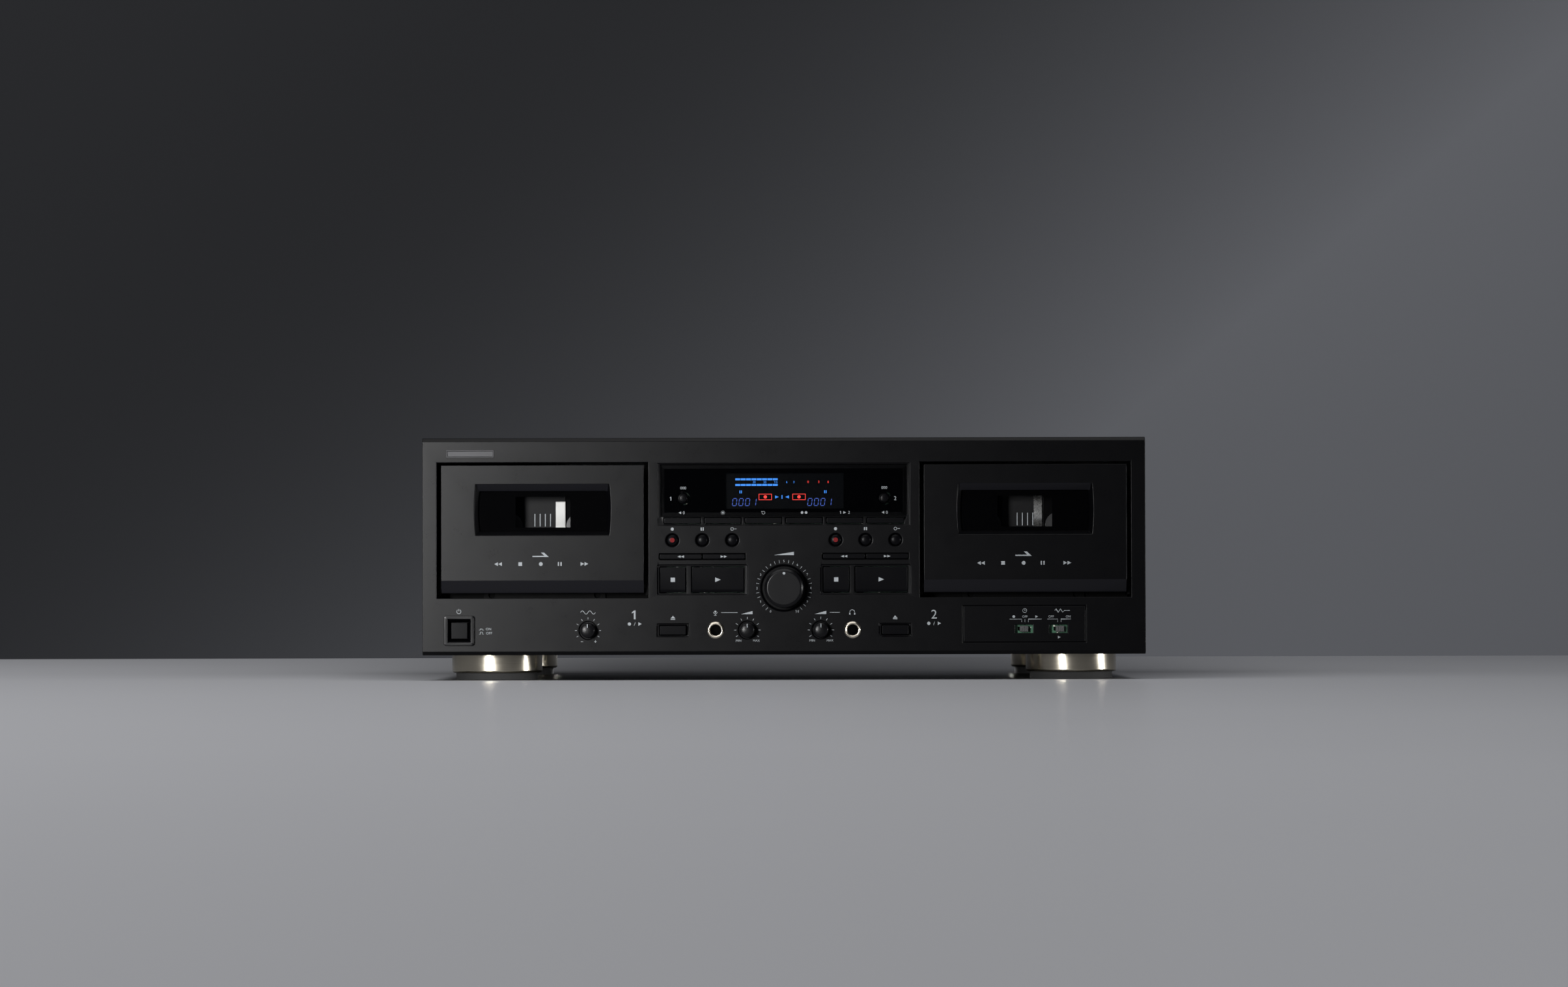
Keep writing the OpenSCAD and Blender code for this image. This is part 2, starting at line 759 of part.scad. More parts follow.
bar_z = panel_z + bar_lift;
transport_z = panel_z + transport_lift;
row_z = panel_z + row_lift;
knob_z = panel_z + knob_lift;
slide_z = panel_z + slide_lift;
field_z = panel_z + field_lift;
power_end = power_sleeve_d + power_body_l - power_wall;
collar_d = panel_t + key_gap;
board_d = panel_t + board_gap;
tact_front = board_d - tact_h;
pot_front = panel_t + pot_gap;
bushing_end = pot_front + bushing_l;
shaft_end = board_d - 2 * over;
slide_body_d = panel_t + slide_body_gap;
stem_end = slide_body_d + stem_l;
bar_x = (bar_w + bar_seam) / 2;
board_w = 2 * (middle_x - sleeve_t - board_side);
board_z = pan_top + board_clear;
board_top = panel_top - board_top_gap;
strip_top = opening_z - sleeve_t - board_clear;
strip_left = -pitch_x - 2 * pot_w;
strip_right = door_x + door_w / 2 - board_clear;
socket_z = pan_top + socket_lift;
main_w = panel_w - main_left - main_right;
main_x = (main_right - main_left) / 2;
main_front = rear_y - main_back - main_l;
main_z = pan_top + main_lift;
inlet_x = panel_w / 2 - inlet_edge;
socket_x = panel_w / 2 - socket_edge;
data_x = panel_w / 2 - data_edge;
foot_x = panel_w / 2 - foot_edge;
foot_rear = case_d - foot_back;
transformer_y = rear_y - core_back_gap - coil_l - core_l / 2;
foot_seat_z = pad_show + pad_seat;
foot_head_z = foot_seat_z + foot_screw_sink;
lip_screw_z = cover_top - lip_h / 2;
flange_screw_z = pan_z + flange_h / 2;
screw_hole = screw_dia + 2 * screw_gap;
side_screws = [side_screw_front, case_d - side_screw_back];
cross_screws = [-cross_screw_x, 0, cross_screw_x];
rim_screw_d = (panel_t + rim_d) / 2;
foot_spots = [for (x = [-foot_x, foot_x], y = [foot_front, foot_rear]) [x, y]];
post_spots = [
    [0, round_z],
    [0, row_z],
    [-reset_x, board_top - post_dia],
    [reset_x, board_top - post_dia],
    [strip_left + post_dia, row_z],
    [eject_x + eject_pocket_w + post_dia, row_z],
    [strip_right - post_dia, row_z]
];

// Left deck is 1, right deck is 2
function side(deck) = deck == 1 ? -1 : 1;
function deck_x(deck) = side(deck) * door_x;
function vent_x(i) = inlet_x + (i - (vent_count - 1) / 2) * vent_pitch;
function slim_x(i) = (i - 2.5) * slim_pitch;
function round_x(deck, place) = side(deck) * block_x + place * round_pitch;
function key_end(travel) = tact_front - travel - key_rest;
// Quarter round of [radius, depth] points from the middle of a dome to its edge
function dome(dia, rise, front) =
    [for (i = [0:8]) [dia / 2 * sin(i * 11.25), front + rise * (1 - cos(i * 11.25))]];
// Outline with straight long sides and bowed short sides
function barrel(w, h, bow) = concat(
    [for (i = [0:12]) let (t = i / 6 - 1) [w / 2 + bow * (1 - t * t), t * h / 2]],
    [for (i = [0:12]) let (t = 1 - i / 6) [-w / 2 - bow * (1 - t * t), t * h / 2]]
);

key_spots = concat(
    [for (i = [0:5]) [slim_x(i), slim_z]],
    [for (deck = [1, 2]) [side(deck) * reset_x, reset_z]],
    [for (deck = [1, 2], place = [-1:1]) [round_x(deck, place), round_z]],
    [for (deck = [1, 2], way = [-1, 1]) [side(deck) * block_x + way * bar_x, bar_z]],
    [for (deck = [1, 2]) [side(deck) * block_x - stop_x, transport_z]],
    [for (deck = [1, 2]) [side(deck) * block_x + play_x, transport_z]],
    [for (deck = [1, 2]) [side(deck) * eject_x, row_z]]
);
small_knobs = [-pitch_x, -level_x, level_x];
sliders = [[timer_x, -slide_step, slide_step], [noise_x, -slide_step / 2, slide_step / 2]];

panel_black = "#232325";
key_black = "#1a1a1c";
sheet_black = "#1c1c1e";
smoke = "#0b0c10";
nickel = "#b9b2a2";
gold = "#a99a78";
steel = "#9fa2a6";
board_green = "#2d5a3c";

// Puts a part into the case: y is the depth behind the panel's face, z the height above the floor
module in_case() {
    translate([0, face_y, 0]) children();
}

// Puts a part into a deck: x is measured from the middle of its door
module in_deck(deck) {
    translate([deck_x(deck), face_y, 0]) children();
}

// Box from its lowest to its highest corner
module block(low, high) {
    translate(low) cube(high - low);
}

// Box centred on x and z between two depths
module slab(w, h, front, back) {
    translate([-w / 2, front, -h / 2]) cube([w, back - front, h]);
}

// Rod along the depth
module rod(dia, front, back) {
    translate([0, front, 0]) rotate([-90, 0, 0]) cylinder(d = dia, h = back - front);
}

// Profile of [radius, depth] points turned round the depth axis
module turned(points) {
    rotate([-90, 0, 0]) rotate_extrude() polygon(points);
}

// Profile of [depth, height] points drawn out along x, centred
module drawn(points, w) {
    translate([-w / 2, 0, 0]) rotate([90, 0, 90]) linear_extrude(w) polygon(points);
}

// Slab with rounded corners
module rounded_slab(w, h, r, front, back) {
    slab(w - 2 * r, h, front, back);
    slab(w, h - 2 * r, front, back);
    for (sx = [-1, 1], sz = [-1, 1])
        translate([sx * (w / 2 - r), 0, sz * (h / 2 - r)]) rod(2 * r, front, back);
}

// Square funnel that narrows with the depth
module funnel(w_front, w_back, front, back) {
    outline = [[front, -w_front / 2], [back, -w_back / 2], [back, w_back / 2], [front, w_front / 2]];
    intersection() {
        drawn(outline, w_front);
        rotate([0, 90, 0]) drawn(outline, w_front);
    }
}

// Cuts of the front panel that belong to one deck
module deck_cuts(deck) {
    hole_r = round_dia / 2 + key_gap;
    sink_slope = (sink_dia / 2 - hole_r) / sink_d;
    translate([deck_x(deck), 0, 0])
        block([-opening_w / 2, -over, opening_z], [opening_w / 2, sleeve_d + over, opening_top]);
    for (place = [-1:1]) translate([round_x(deck, place), 0, round_z]) {
        turned([
            [0, -over], [sink_dia / 2 + sink_slope * over, -over],
            [hole_r, sink_d], [hole_r, panel_t + over], [0, panel_t + over]
        ]);
    }
    translate([side(deck) * block_x, 0, bar_z])
        slab(2 * bar_w + bar_seam + 2 * bar_gap, bar_h + 2 * bar_gap, -over, panel_t + over);
    translate([side(deck) * block_x, 0, transport_z]) {
        rounded_slab(pocket_w, pocket_h, pocket_r, -over, pocket_d);
        for (key = [[-stop_x, stop_w], [play_x, play_w]]) translate([key[0], 0, 0])
            slab(key[1] + 2 * key_gap, transport_h + 2 * key_gap, -over, panel_t + over);
    }
    translate([side(deck) * eject_x, 0, row_z]) {
        slab(eject_pocket_w, eject_pocket_h, -over, pocket_d);
        slab(eject_w + 2 * key_gap, eject_h + 2 * key_gap, -over, panel_t + over);
    }
    translate([side(deck) * jack_x, 0, row_z]) rod(barrel_dia + 2 * seat_gap, -over, panel_t + over);
}

// Cuts of the front panel for the display window and the slim keys under it
module display_cuts() {
    block([-bezel_w / 2, -over, bezel_z], [bezel_w / 2, bezel_d, bezel_z + bezel_h]);
    translate([0, 0, display_z + display_h / 2]) {
        slab(display_w + 2 * seat_gap, display_h + 2 * seat_gap, -over, bezel_d + display_t);
        slab(display_w - 2 * ledge_lap, display_h - 2 * ledge_lap, 0, panel_t + ledge_t + over);
    }
    for (i = [0:5]) translate([slim_x(i), 0, slim_z])
        slab(slim_w + 2 * key_gap, slim_h + 2 * key_gap, -over, panel_t + over);
}

// Cuts of the front panel for the knobs
module knob_cuts() {
    shaft_r = knob_shaft / 2 + shaft_gap;
    translate([0, 0, knob_z]) {
        turned([
            [0, -over], [dish_dia / 2 + over, -over], [dish_inner / 2, (dish_dia - dish_inner) / 2],
            [dish_inner / 2, dish_d], [shaft_r, dish_d], [shaft_r, panel_t + over], [0, panel_t + over]
        ]);
    }
    for (x = small_knobs) translate([x, 0, row_z]) {
        rod(small_ring, -over, small_ring_d);
        rod(small_shaft + 2 * shaft_gap, 0, panel_t + over);
    }
}

// Cuts of the front panel for the power switch, the slide switches and the line round them
module switch_cuts() {
    translate([-power_x, 0, row_z])
        slab(power_sleeve + 2 * seat_gap, power_sleeve + 2 * seat_gap, -over, panel_t + over);
    for (s = sliders) translate([s[0], 0, slide_z]) slab(slide_slot_w, slide_slot_h, -over, panel_t + over);
    difference() {
        block([field_x, -over, field_z], [field_x + field_w, field_line, field_z + field_h]);
        block(
            [field_x + field_line, -2 * over, field_z + field_line],
            [field_x + field_w - field_line, 2 * over, field_z + field_h - field_line]
        );
    }
}

module front_panel() {
    profile = [
        [panel_bevel, panel_z], [0, panel_z + panel_bevel], [0, panel_top - panel_bevel],
        [panel_bevel, panel_top], [rim_d, panel_top], [rim_d, panel_z]
    ];
    color(panel_black) in_case() difference() {
        union() {
            difference() {
                drawn(profile, panel_w);
                block(
                    [-panel_w / 2 + rim_t, panel_t, panel_z + rim_t],
                    [panel_w / 2 - rim_t, rim_d + over, panel_top - rim_t]
                );
            }
            for (deck = [1, 2]) translate([deck_x(deck), 0, 0]) block(
                [-opening_w / 2 - sleeve_t, panel_t - over, opening_z - sleeve_t],
                [opening_w / 2 + sleeve_t, sleeve_d, opening_top + sleeve_t]
            );
            block(
                [-display_w / 2 - ledge_rim, panel_t - over, display_z - seat_gap - ledge_sill],
                [display_w / 2 + ledge_rim, panel_t + ledge_t, display_z + display_h + ledge_rim]
            );
            for (spot = post_spots) translate([spot[0], 0, spot[1]]) rod(post_dia, panel_t - over, board_d);
        }
        deck_cuts(1);
        deck_cuts(2);
        display_cuts();
        knob_cuts();
        switch_cuts();
        for (x = cross_screws) translate([x, rim_screw_d, panel_z - over]) {
            cylinder(d = screw_head_dia + 4 * screw_gap, h = over + screw_head_h);
            cylinder(d = screw_hole, h = rim_t + 2 * over);
        }
    }
}

module base_pan() {
    front = rim_d + cover_gap;
    back = rear_y - sheet_t;
    color(sheet_black) in_case() difference() {
        union() {
            block([-sheet_x + over, panel_t + seat_gap, pan_z], [sheet_x - over, back, pan_top]);
            for (s = [-1, 1]) translate([s * (sheet_x - pan_t / 2), 0, 0])
                block([-pan_t / 2, front, pan_z], [pan_t / 2, back, pan_z + flange_h]);
            block([-sheet_x, back - pan_t, pan_z], [sheet_x, back, pan_z + flange_h]);
        }
        for (spot = foot_spots) translate([spot[0], spot[1], pan_z - over])
            cylinder(d = foot_screw_dia + 2 * screw_gap, h = pan_t + 2 * over);
        for (x = cross_screws) {
            translate([x, rim_screw_d, pan_z - over]) cylinder(d = screw_hole, h = pan_t + 2 * over);
            translate([x, 0, flange_screw_z]) rod(screw_hole, back - pan_t - over, back + over);
        }
        side_screw_holes();
    }
}

// Holes through the sheets at both sides of the case
module side_screw_holes() {
    for (y = side_screws) translate([-cover_x - over, y, flange_screw_z])
        rotate([0, 90, 0]) cylinder(d = screw_hole, h = 2 * cover_x + 2 * over);
}

module top_cover() {
    front = rim_d + cover_gap;
    inner_x = cover_x - sheet_t;
    color(sheet_black) in_case() difference() {
        block([-cover_x, front, pan_z], [cover_x, case_d, cover_top]);
        block([-inner_x, front - over, pan_z - over], [inner_x, rear_y, cover_top - sheet_t]);
        block([-inner_x, rear_y - over, pan_z - over], [inner_x, case_d + over, cover_top - lip_h]);
        side_screw_holes();
        for (x = cross_screws) translate([x, 0, lip_screw_z])
            rod(screw_hole, rear_y - over, case_d + over);
        for (i = [0:vent_count - 1], row = [-0.5, 0.5])
            translate([vent_x(i), transformer_y + row * (vent_l + vent_gap), 0]) block(
                [-vent_w / 2, -vent_l / 2, cover_top - sheet_t - over],
                [vent_w / 2, vent_l / 2, cover_top + over]
            );
    }
}

module rear_panel() {
    front = rear_y - sheet_t;
    shell_gap = 2 * shell_t + 2 * seat_gap;
    color(sheet_black) in_case() difference() {
        block([-sheet_x, front, pan_z], [sheet_x, rear_y, cover_top - sheet_t - sheet_gap]);
        for (x = cross_screws, z = [flange_screw_z, lip_screw_z])
            translate([x, 0, z]) rod(screw_hole, front - over, rear_y + over);
        for (i = [-0.5, 0.5], j = [-0.5, 0.5])
            translate([-socket_x + i * socket_pitch, 0, socket_z + j * socket_pitch])
                rod(socket_dia + 2 * seat_gap, front - over, rear_y + over);
        translate([-data_x, 0, socket_z])
            slab(data_w + shell_gap, data_h + shell_gap, front - over, rear_y + over);
        translate([inlet_x, 0, socket_z])
            slab(inlet_w + shell_gap, inlet_h + shell_gap, front - over, rear_y + over);
    }
}

module foot_rings() {
    r = foot_dia / 2;
    well_r = foot_screw_head / 2 + 2 * screw_gap;
    rounded_edge = [for (i = [0:6])
        [r - foot_round * (1 - sin(i * 15)), pad_show + foot_round * (1 - cos(i * 15))]];
    outline = concat(
        [[foot_screw_dia / 2 + screw_gap, pan_z], [foot_screw_dia / 2 + screw_gap, foot_head_z]],
        [[well_r, foot_head_z], [well_r, foot_seat_z]],
        [[pad_dia / 2 + seat_gap, foot_seat_z], [pad_dia / 2 + seat_gap, pad_show]],
        rounded_edge,
        [[r, pan_z]]
    );
    color(gold) in_case() for (spot = foot_spots)
        translate([spot[0], spot[1], 0]) rotate_extrude() polygon(outline);
}

module foot_pads() {
    color("#141414") in_case() for (spot = foot_spots) translate([spot[0], spot[1], 0]) difference() {
        cylinder(d = pad_dia, h = foot_seat_z);
        translate([0, 0, -over]) cylinder(d = pad_hole, h = foot_seat_z + 2 * over);
    }
}

// Pan head screw: its head's seat is at z = 0, its shank points up
module case_screw() {
    translate([0, 0, -screw_head_h]) cylinder(d = screw_head_dia, h = screw_head_h);
    cylinder(d = screw_dia, h = screw_len);
}

module case_screws() {
    color("#2a2a2c") in_case() {
        for (x = cross_screws) {
            translate([x, rim_screw_d, panel_z + screw_head_h]) case_screw();
            translate([x, rear_y, flange_screw_z]) rotate([90, 0, 0]) case_screw();
            translate([x, case_d, lip_screw_z]) rotate([90, 0, 0]) case_screw();
        }
        for (y = side_screws, s = [-1, 1])
            translate([s * cover_x, y, flange_screw_z]) rotate([0, -s * 90, 0]) case_screw();
        for (spot = foot_spots) translate([spot[0], spot[1], foot_head_z]) {
            translate([0, 0, -foot_screw_head_h]) cylinder(d = foot_screw_head, h = foot_screw_head_h);
            cylinder(d = foot_screw_dia, h = pan_top - foot_head_z);
        }
    }
}

module display_window() {
    color(smoke) in_case() difference() {
        translate([0, 0, display_z + display_h / 2]) slab(display_w, display_h, bezel_d, bezel_d + display_t);
        for (deck = [1, 2]) translate([side(deck) * reset_x, 0, reset_z])
            rod(reset_dia + 2 * key_gap, -over, panel_t + over);
    }
}

// Level pot on the front board: bushing towards the panel, shaft bore through it
module pot(w, shaft) {
    slab(w, w, bushing_end, board_d + over);
    rod(shaft + 2 * bushing_t, pot_front, bushing_end + over);
}

module front_board() {
    jack_hole = jack_body + 4 * seat_gap;
    color(board_green) in_case() difference() {
        union() {
            block([-board_w / 2, board_d, board_z], [board_w / 2, board_d + board_t, board_top]);
            block([strip_left, board_d, board_z], [strip_right, board_d + board_t, strip_top]);
            for (spot = key_spots) translate([spot[0], 0, spot[1]])
                slab(tact_w, slim_h, tact_front, board_d + over);
            translate([0, 0, knob_z]) pot(big_pot_w, knob_shaft);
            for (x = small_knobs) translate([x, 0, row_z]) pot(pot_w, small_shaft);
            for (s = sliders) translate([s[0], 0, slide_z])
                slab(slide_slot_w + slide_body, slide_slot_h + slide_body, slide_body_d, board_d + over);
            translate([0, 0, display_z + display_h / 2])
                slab(tube_w, tube_h, board_d - tube_t, board_d + over);
        }
        for (s = [-1, 1]) translate([s * jack_x, 0, row_z])
            slab(jack_hole, jack_hole, board_d - over, board_d + board_t + over);
        translate([0, 0, knob_z]) rod(knob_shaft + 2 * run_gap, 0, board_d - over);
        for (x = small_knobs) translate([x, 0, row_z]) rod(small_shaft + 2 * run_gap, 0, board_d - over);
        for (s = sliders) translate([s[0], 0, slide_z])
            slab(stem_w + s[2] - s[1] + 2 * move_gap, stem_h + 2 * move_gap, 0, stem_end + move_gap);
    }
}

module main_board() {
    color(board_green) in_case() translate([-main_x, main_front, main_z]) {
        block([-main_w / 2, 0, 0], [main_w / 2, main_l, board_t]);
        for (i = [0:cap_count - 1])
            translate([(i - (cap_count - 1) / 2) * cap_pitch, parts_edge, board_t - over])
                cylinder(d = cap_dia, h = cap_h + over);
        for (i = [0:chip_count - 1])
            translate([(i - (chip_count - 1) / 2) * chip_pitch, main_l - parts_edge, 0])
                block([-chip_w / 2, -chip_l / 2, board_t - over], [chip_w / 2, chip_l / 2, board_t + chip_h]);
        for (s = [-1, 1], y = [standoff_dia, main_l - standoff_dia])
            translate([s * (main_w / 2 - standoff_dia), y, -main_lift])
                cylinder(d = standoff_dia, h = main_lift + over);
    }
}

module power_transformer() {
    foot = core_w / 2 + core_foot_w;
    coil_z = (core_h - coil_h) / 2;
    coil_y = core_l / 2 + coil_l;
    color("#6b5a3c") in_case() translate([inlet_x, transformer_y, pan_top]) {
        block([-core_w / 2, -core_l / 2, 0], [core_w / 2, core_l / 2, core_h]);
        block([-foot, -core_l / 2, 0], [foot, core_l / 2, core_foot_t]);
        block([-coil_w / 2, -coil_y, coil_z], [coil_w / 2, coil_y, coil_z + coil_h]);
    }
}

// One line socket: a body behind the rear panel and a barrel that stands out of it
module line_socket() {
    body = socket_pitch - socket_seam;
    inside = rear_y - sheet_t;
    difference() {
        union() {
            rod(socket_dia, rear_y - socket_block, rear_y + socket_proud);
            slab(body, body, inside - socket_block, inside);
        }
        rod(socket_bore, rear_y - socket_bore_l, rear_y + socket_proud + over);
    }
}

module rear_sockets() {
    inside = rear_y - sheet_t;
    inlet_back = rear_y - inlet_d;
    color("#8b8577") in_case() {
        for (i = [-0.5, 0.5], j = [-0.5, 0.5])
            translate([i * socket_pitch - socket_x, 0, j * socket_pitch + socket_z]) line_socket();
        translate([-data_x, 0, socket_z]) difference() {
            union() {
                slab(data_w + 2 * shell_t, data_h + 2 * shell_t, inside - data_body, rear_y + data_proud);
                slab(data_w + 2 * shell_flange, data_h + 2 * shell_flange, inside - data_body, inside);
            }
            slab(data_w, data_h, rear_y - data_d, rear_y + data_proud + over);
        }
        translate([inlet_x, 0, socket_z]) {
            difference() {
                union() {
                    slab(inlet_w + 2 * shell_t, inlet_h + 2 * shell_t, inlet_back - shell_flange, rear_y);
                    rounded_slab(
                        inlet_w + 2 * shell_flange, inlet_h + 2 * shell_flange, shell_flange,
                        rear_y, rear_y + inlet_flange_t
                    );
                }
                rounded_slab(inlet_w, inlet_h, inlet_r, inlet_back, rear_y + inlet_flange_t + over);
            }
            for (s = [-0.5, 0.5]) translate([s * inlet_pitch, 0, 0])
                rod(inlet_pin, inlet_back - over, rear_y - inlet_pin_sunk);
        }
    }
}

module front_jacks() {
    ring_r = jack_ring / 2;
    bore_r = jack_bore / 2;
    ring = [
        [bore_r, panel_t + over], [bore_r, jack_lead - jack_proud], [bore_r + jack_lead, -jack_proud],
        [ring_r - jack_edge, -jack_proud], [ring_r, jack_edge - jack_proud], [ring_r, 0],
        [barrel_dia / 2, 0], [barrel_dia / 2, panel_t + over]
    ];
    color(nickel) in_case() for (s = [-1, 1]) translate([s * jack_x, 0, row_z]) {
        turned(ring);
        difference() {
            slab(jack_body, jack_body, panel_t, jack_l);
            rod(jack_bore, panel_t - over, jack_bore_l);
        }
    }
}

module power_switch() {
    throat = power_button_w + 2 * key_gap;
    stem_hole = power_stem + 2 * key_gap;
    color(key_black) in_case() translate([-power_x, 0, row_z]) difference() {
        union() {
            rounded_slab(power_w, power_h, power_r, -power_proud, 0);
            slab(power_sleeve, power_sleeve, -over / 2, power_sleeve_d);
            slab(power_body_w, power_body_w, power_sleeve_d, power_end + power_wall);
        }
        funnel(power_mouth, throat, -power_proud, panel_t);
        slab(throat, throat, panel_t - over / 2, power_sleeve_d);
        slab(stem_hole, stem_hole, panel_t, power_end);
    }
}

// Transport frame of one deck: plate, legs, hinge brackets, motor bridge and guide studs
module transport_frame() {
    plate_x = bracket_x + bracket_t;
    plate_z = door_z - plate_drop;
    difference() {
        union() {
            block([-plate_x, plate_d, plate_z], [plate_x, plate_back, door_z + plate_rise]);
            for (s = [-1, 1]) {
                translate([s * (bracket_x + bracket_t / 2), 0, 0])
                    block(
                        [-bracket_t / 2, bracket_d, pivot_z - bracket_below],
                        [bracket_t / 2, plate_back, pivot_z + bracket_above]
                    );
                translate([s * leg_x, 0, 0]) {
                    block([-leg_w / 2, plate_d, pan_top], [leg_w / 2, plate_back, plate_z + over]);
                    block(
                        [-leg_w / 2, plate_d, pan_top],
                        [leg_w / 2, plate_back + leg_foot, pan_top + plate_t]
                    );
                }
                translate([s * stud_x, 0, stud_z]) {
                    rod(stud_dia, carriage_d - move_gap, plate_d + over);
                    rod(stud_head, carriage_d - move_gap - stud_head_t, carriage_d - move_gap);
                }
            }
            translate([capstan_x, 0, capstan_z]) {
                slab(
                    2 * bridge_span_x + bridge_post, 2 * bridge_span_z + bridge_post,
                    bridge_d, bridge_d + bridge_t
                );
                for (sx = [-1, 1], sz = [-1, 1])
                    translate([sx * bridge_span_x, 0, sz * bridge_span_z])
                        rod(bridge_post, plate_back - over, bridge_d + over);
            }
        }
        for (s = [-1, 1]) {
            translate([s * hub_pitch / 2, 0, hub_z])
                rod(hub_shaft + 2 * run_gap, plate_d - over, plate_back + over);
            translate([s * (bracket_x - over), pivot_d, pivot_z])
                rotate([0, s * 90, 0]) cylinder(d = pin_dia + 2 * run_gap, h = bracket_t + 2 * over);
        }
        translate([capstan_x, 0, capstan_z])
            rod(capstan_dia + 2 * run_gap, plate_d - over, bridge_d + bridge_t + over);
    }
    translate([capstan_x, 0, capstan_z]) rod(motor_dia, bridge_d + bridge_t, bridge_d + bridge_t + motor_l);
}

module transport_frames() {
    color(steel) for (deck = [1, 2]) in_deck(deck) transport_frame();
}

module power_button() {
    back = power_sleeve_d - power_over - key_rest;
    color("#3a3a3d") in_case() translate([-power_x, 0, row_z]) {
        slab(power_button_w, power_button_w, power_sunk, back);
        slab(power_stem, power_stem, back - over, power_end - power_over - key_rest);
    }
}

module slim_key(i) {
    color(key_black) in_case() translate([slim_x(i), 0, slim_z]) {
        rounded_slab(slim_w, slim_h, slim_r, 0, key_end(key_travel));
        slab(slim_w + 2 * collar, slim_h, collar_d, collar_d + collar_t);
    }
}

// Round push button with a domed face and a collar behind its hole
module domed_button(dia, rise, front) {
    r = dia / 2;
    turned(concat(
        dome(dia, rise, front),
        [[r, collar_d], [r + collar, collar_d], [r + collar, collar_d + collar_t], [r, collar_d + collar_t]],
        [[r, key_end(key_travel)], [0, key_end(key_travel)]]
    ));
}

module reset_button(deck) {
    color(key_black) in_case() translate([side(deck) * reset_x, 0, reset_z])
        domed_button(reset_dia, bezel_d / 2, bezel_d / 2);
}

module round_button(deck, place) {
    color(key_black) in_case() translate([round_x(deck, place), 0, round_z])
        domed_button(round_dia, round_dome, -round_dome);
}

// Rewind is way -1, forward is way 1
module bar_key(deck, way) {
    color(key_black) in_case() translate([side(deck) * block_x + way * bar_x, 0, bar_z]) {
        slab(bar_w, bar_h, -bar_proud, key_end(key_travel));
        slab(bar_w, bar_h + 2 * collar, collar_d, collar_d + collar_t);
    }
}

// Wide key with a bevel along its lower edge
module transport_key(deck, x, w) {
    low = -transport_h / 2;
    back = key_end(key_travel);
    profile = [
        [-transport_proud, -low], [-transport_proud, low + transport_bevel],
        [transport_bevel / 2 - transport_proud, low], [back, low], [back, -low]
    ];
    color(key_black) in_case() translate([side(deck) * block_x + x, 0, transport_z]) {
        drawn(profile, w);
        slab(w + 2 * collar, transport_h, collar_d, collar_d + collar_t);
    }
}

module eject_key(deck) {
    color(key_black) in_case() translate([side(deck) * eject_x, 0, row_z]) {
        slab(eject_w, eject_h, -eject_proud, key_end(eject_travel));
        slab(eject_w + 2 * collar, eject_h + 2 * collar, collar_d, collar_d + collar_t);
    }
}

module record_level_knob() {
    r = knob_dia / 2;
    back = dish_d - knob_gap;
    color(key_black) in_case() translate([0, 0, knob_z]) turned([
        [0, -knob_proud], [r - knob_bevel, -knob_proud], [r, knob_bevel - knob_proud], [r, back],
        [knob_shaft / 2, back], [knob_shaft / 2, shaft_end], [0, shaft_end]
    ]);
}

module small_knob(x) {
    r = small_dia / 2;
    back = small_ring_d - knob_gap;
    color(key_black) in_case() translate([x, 0, row_z]) turned(concat(
        dome(small_dia - 2 * small_taper, small_dome, -small_proud),
        [[r, back], [small_shaft / 2, back], [small_shaft / 2, shaft_end], [0, shaft_end]]
    ));
}

// Slider cap with its stem, at the given place along its slot
module slider(x) {
    back = slide_body_d - move_gap;
    color("#2c2c2f") in_case() translate([x, 0, slide_z]) {
        slab(slider_w, slider_h, slider_sunk, back);
        slab(stem_w, stem_h, back - over, stem_end);
    }
}

module door_panel(deck) {
    pocket_gap = 2 * glass_lap + 2 * seat_gap;
    profile = [
        [0, door_top], [0, door_z + door_bevel_h], [door_bevel_d, door_z],
        [door_depth, door_z], [door_depth, door_top]
    ];
    hollow = [
        [door_wall, door_top - door_wall], [door_wall, door_z + door_bevel_h + over],
        [door_bevel_d + door_wall, door_z + door_wall], [door_depth + over, door_z + door_wall],
        [door_depth + over, door_top - door_wall]
    ];
    color(panel_black) in_deck(deck) difference() {
        union() {
            difference() {
                drawn(profile, door_w);
                drawn(hollow, door_w - 2 * door_wall);
            }
            translate([0, 0, recess_z + recess_h / 2]) slab(
                recess_w + 2 * frame_margin, recess_h + 2 * frame_margin,
                door_wall - over, recess_d + glass_t
            );
            for (s = [-1, 1]) translate([s * (well_w / 2 + holder_t), 0, 0])
                block([-rib_w / 2, door_wall - over, well_z], [rib_w / 2, holder_front, well_z + holder_h]);
        }
        hull() {
            translate([0, 0, recess_z + recess_h / 2]) rotate([90, 0, 0])
                linear_extrude(thin) polygon(barrel(recess_w, recess_h, recess_bow));
            translate([0, recess_d, inner_z]) rotate([90, 0, 0])
                linear_extrude(thin) polygon(barrel(inner_w, inner_h, recess_bow));
        }
        translate([0, 0, inner_z])
            slab(inner_w + pocket_gap, inner_h + pocket_gap, recess_d, recess_d + glass_t + over);
    }
}

module door_window(deck) {
    color(smoke) in_deck(deck) translate([0, 0, inner_z]) {
        slab(inner_w + 2 * glass_lap, inner_h + 2 * glass_lap, recess_d, recess_d + glass_t);
        slab(inner_w - 2 * seat_gap, inner_h - 2 * seat_gap, recess_d - glass_step, recess_d + over);
    }
}

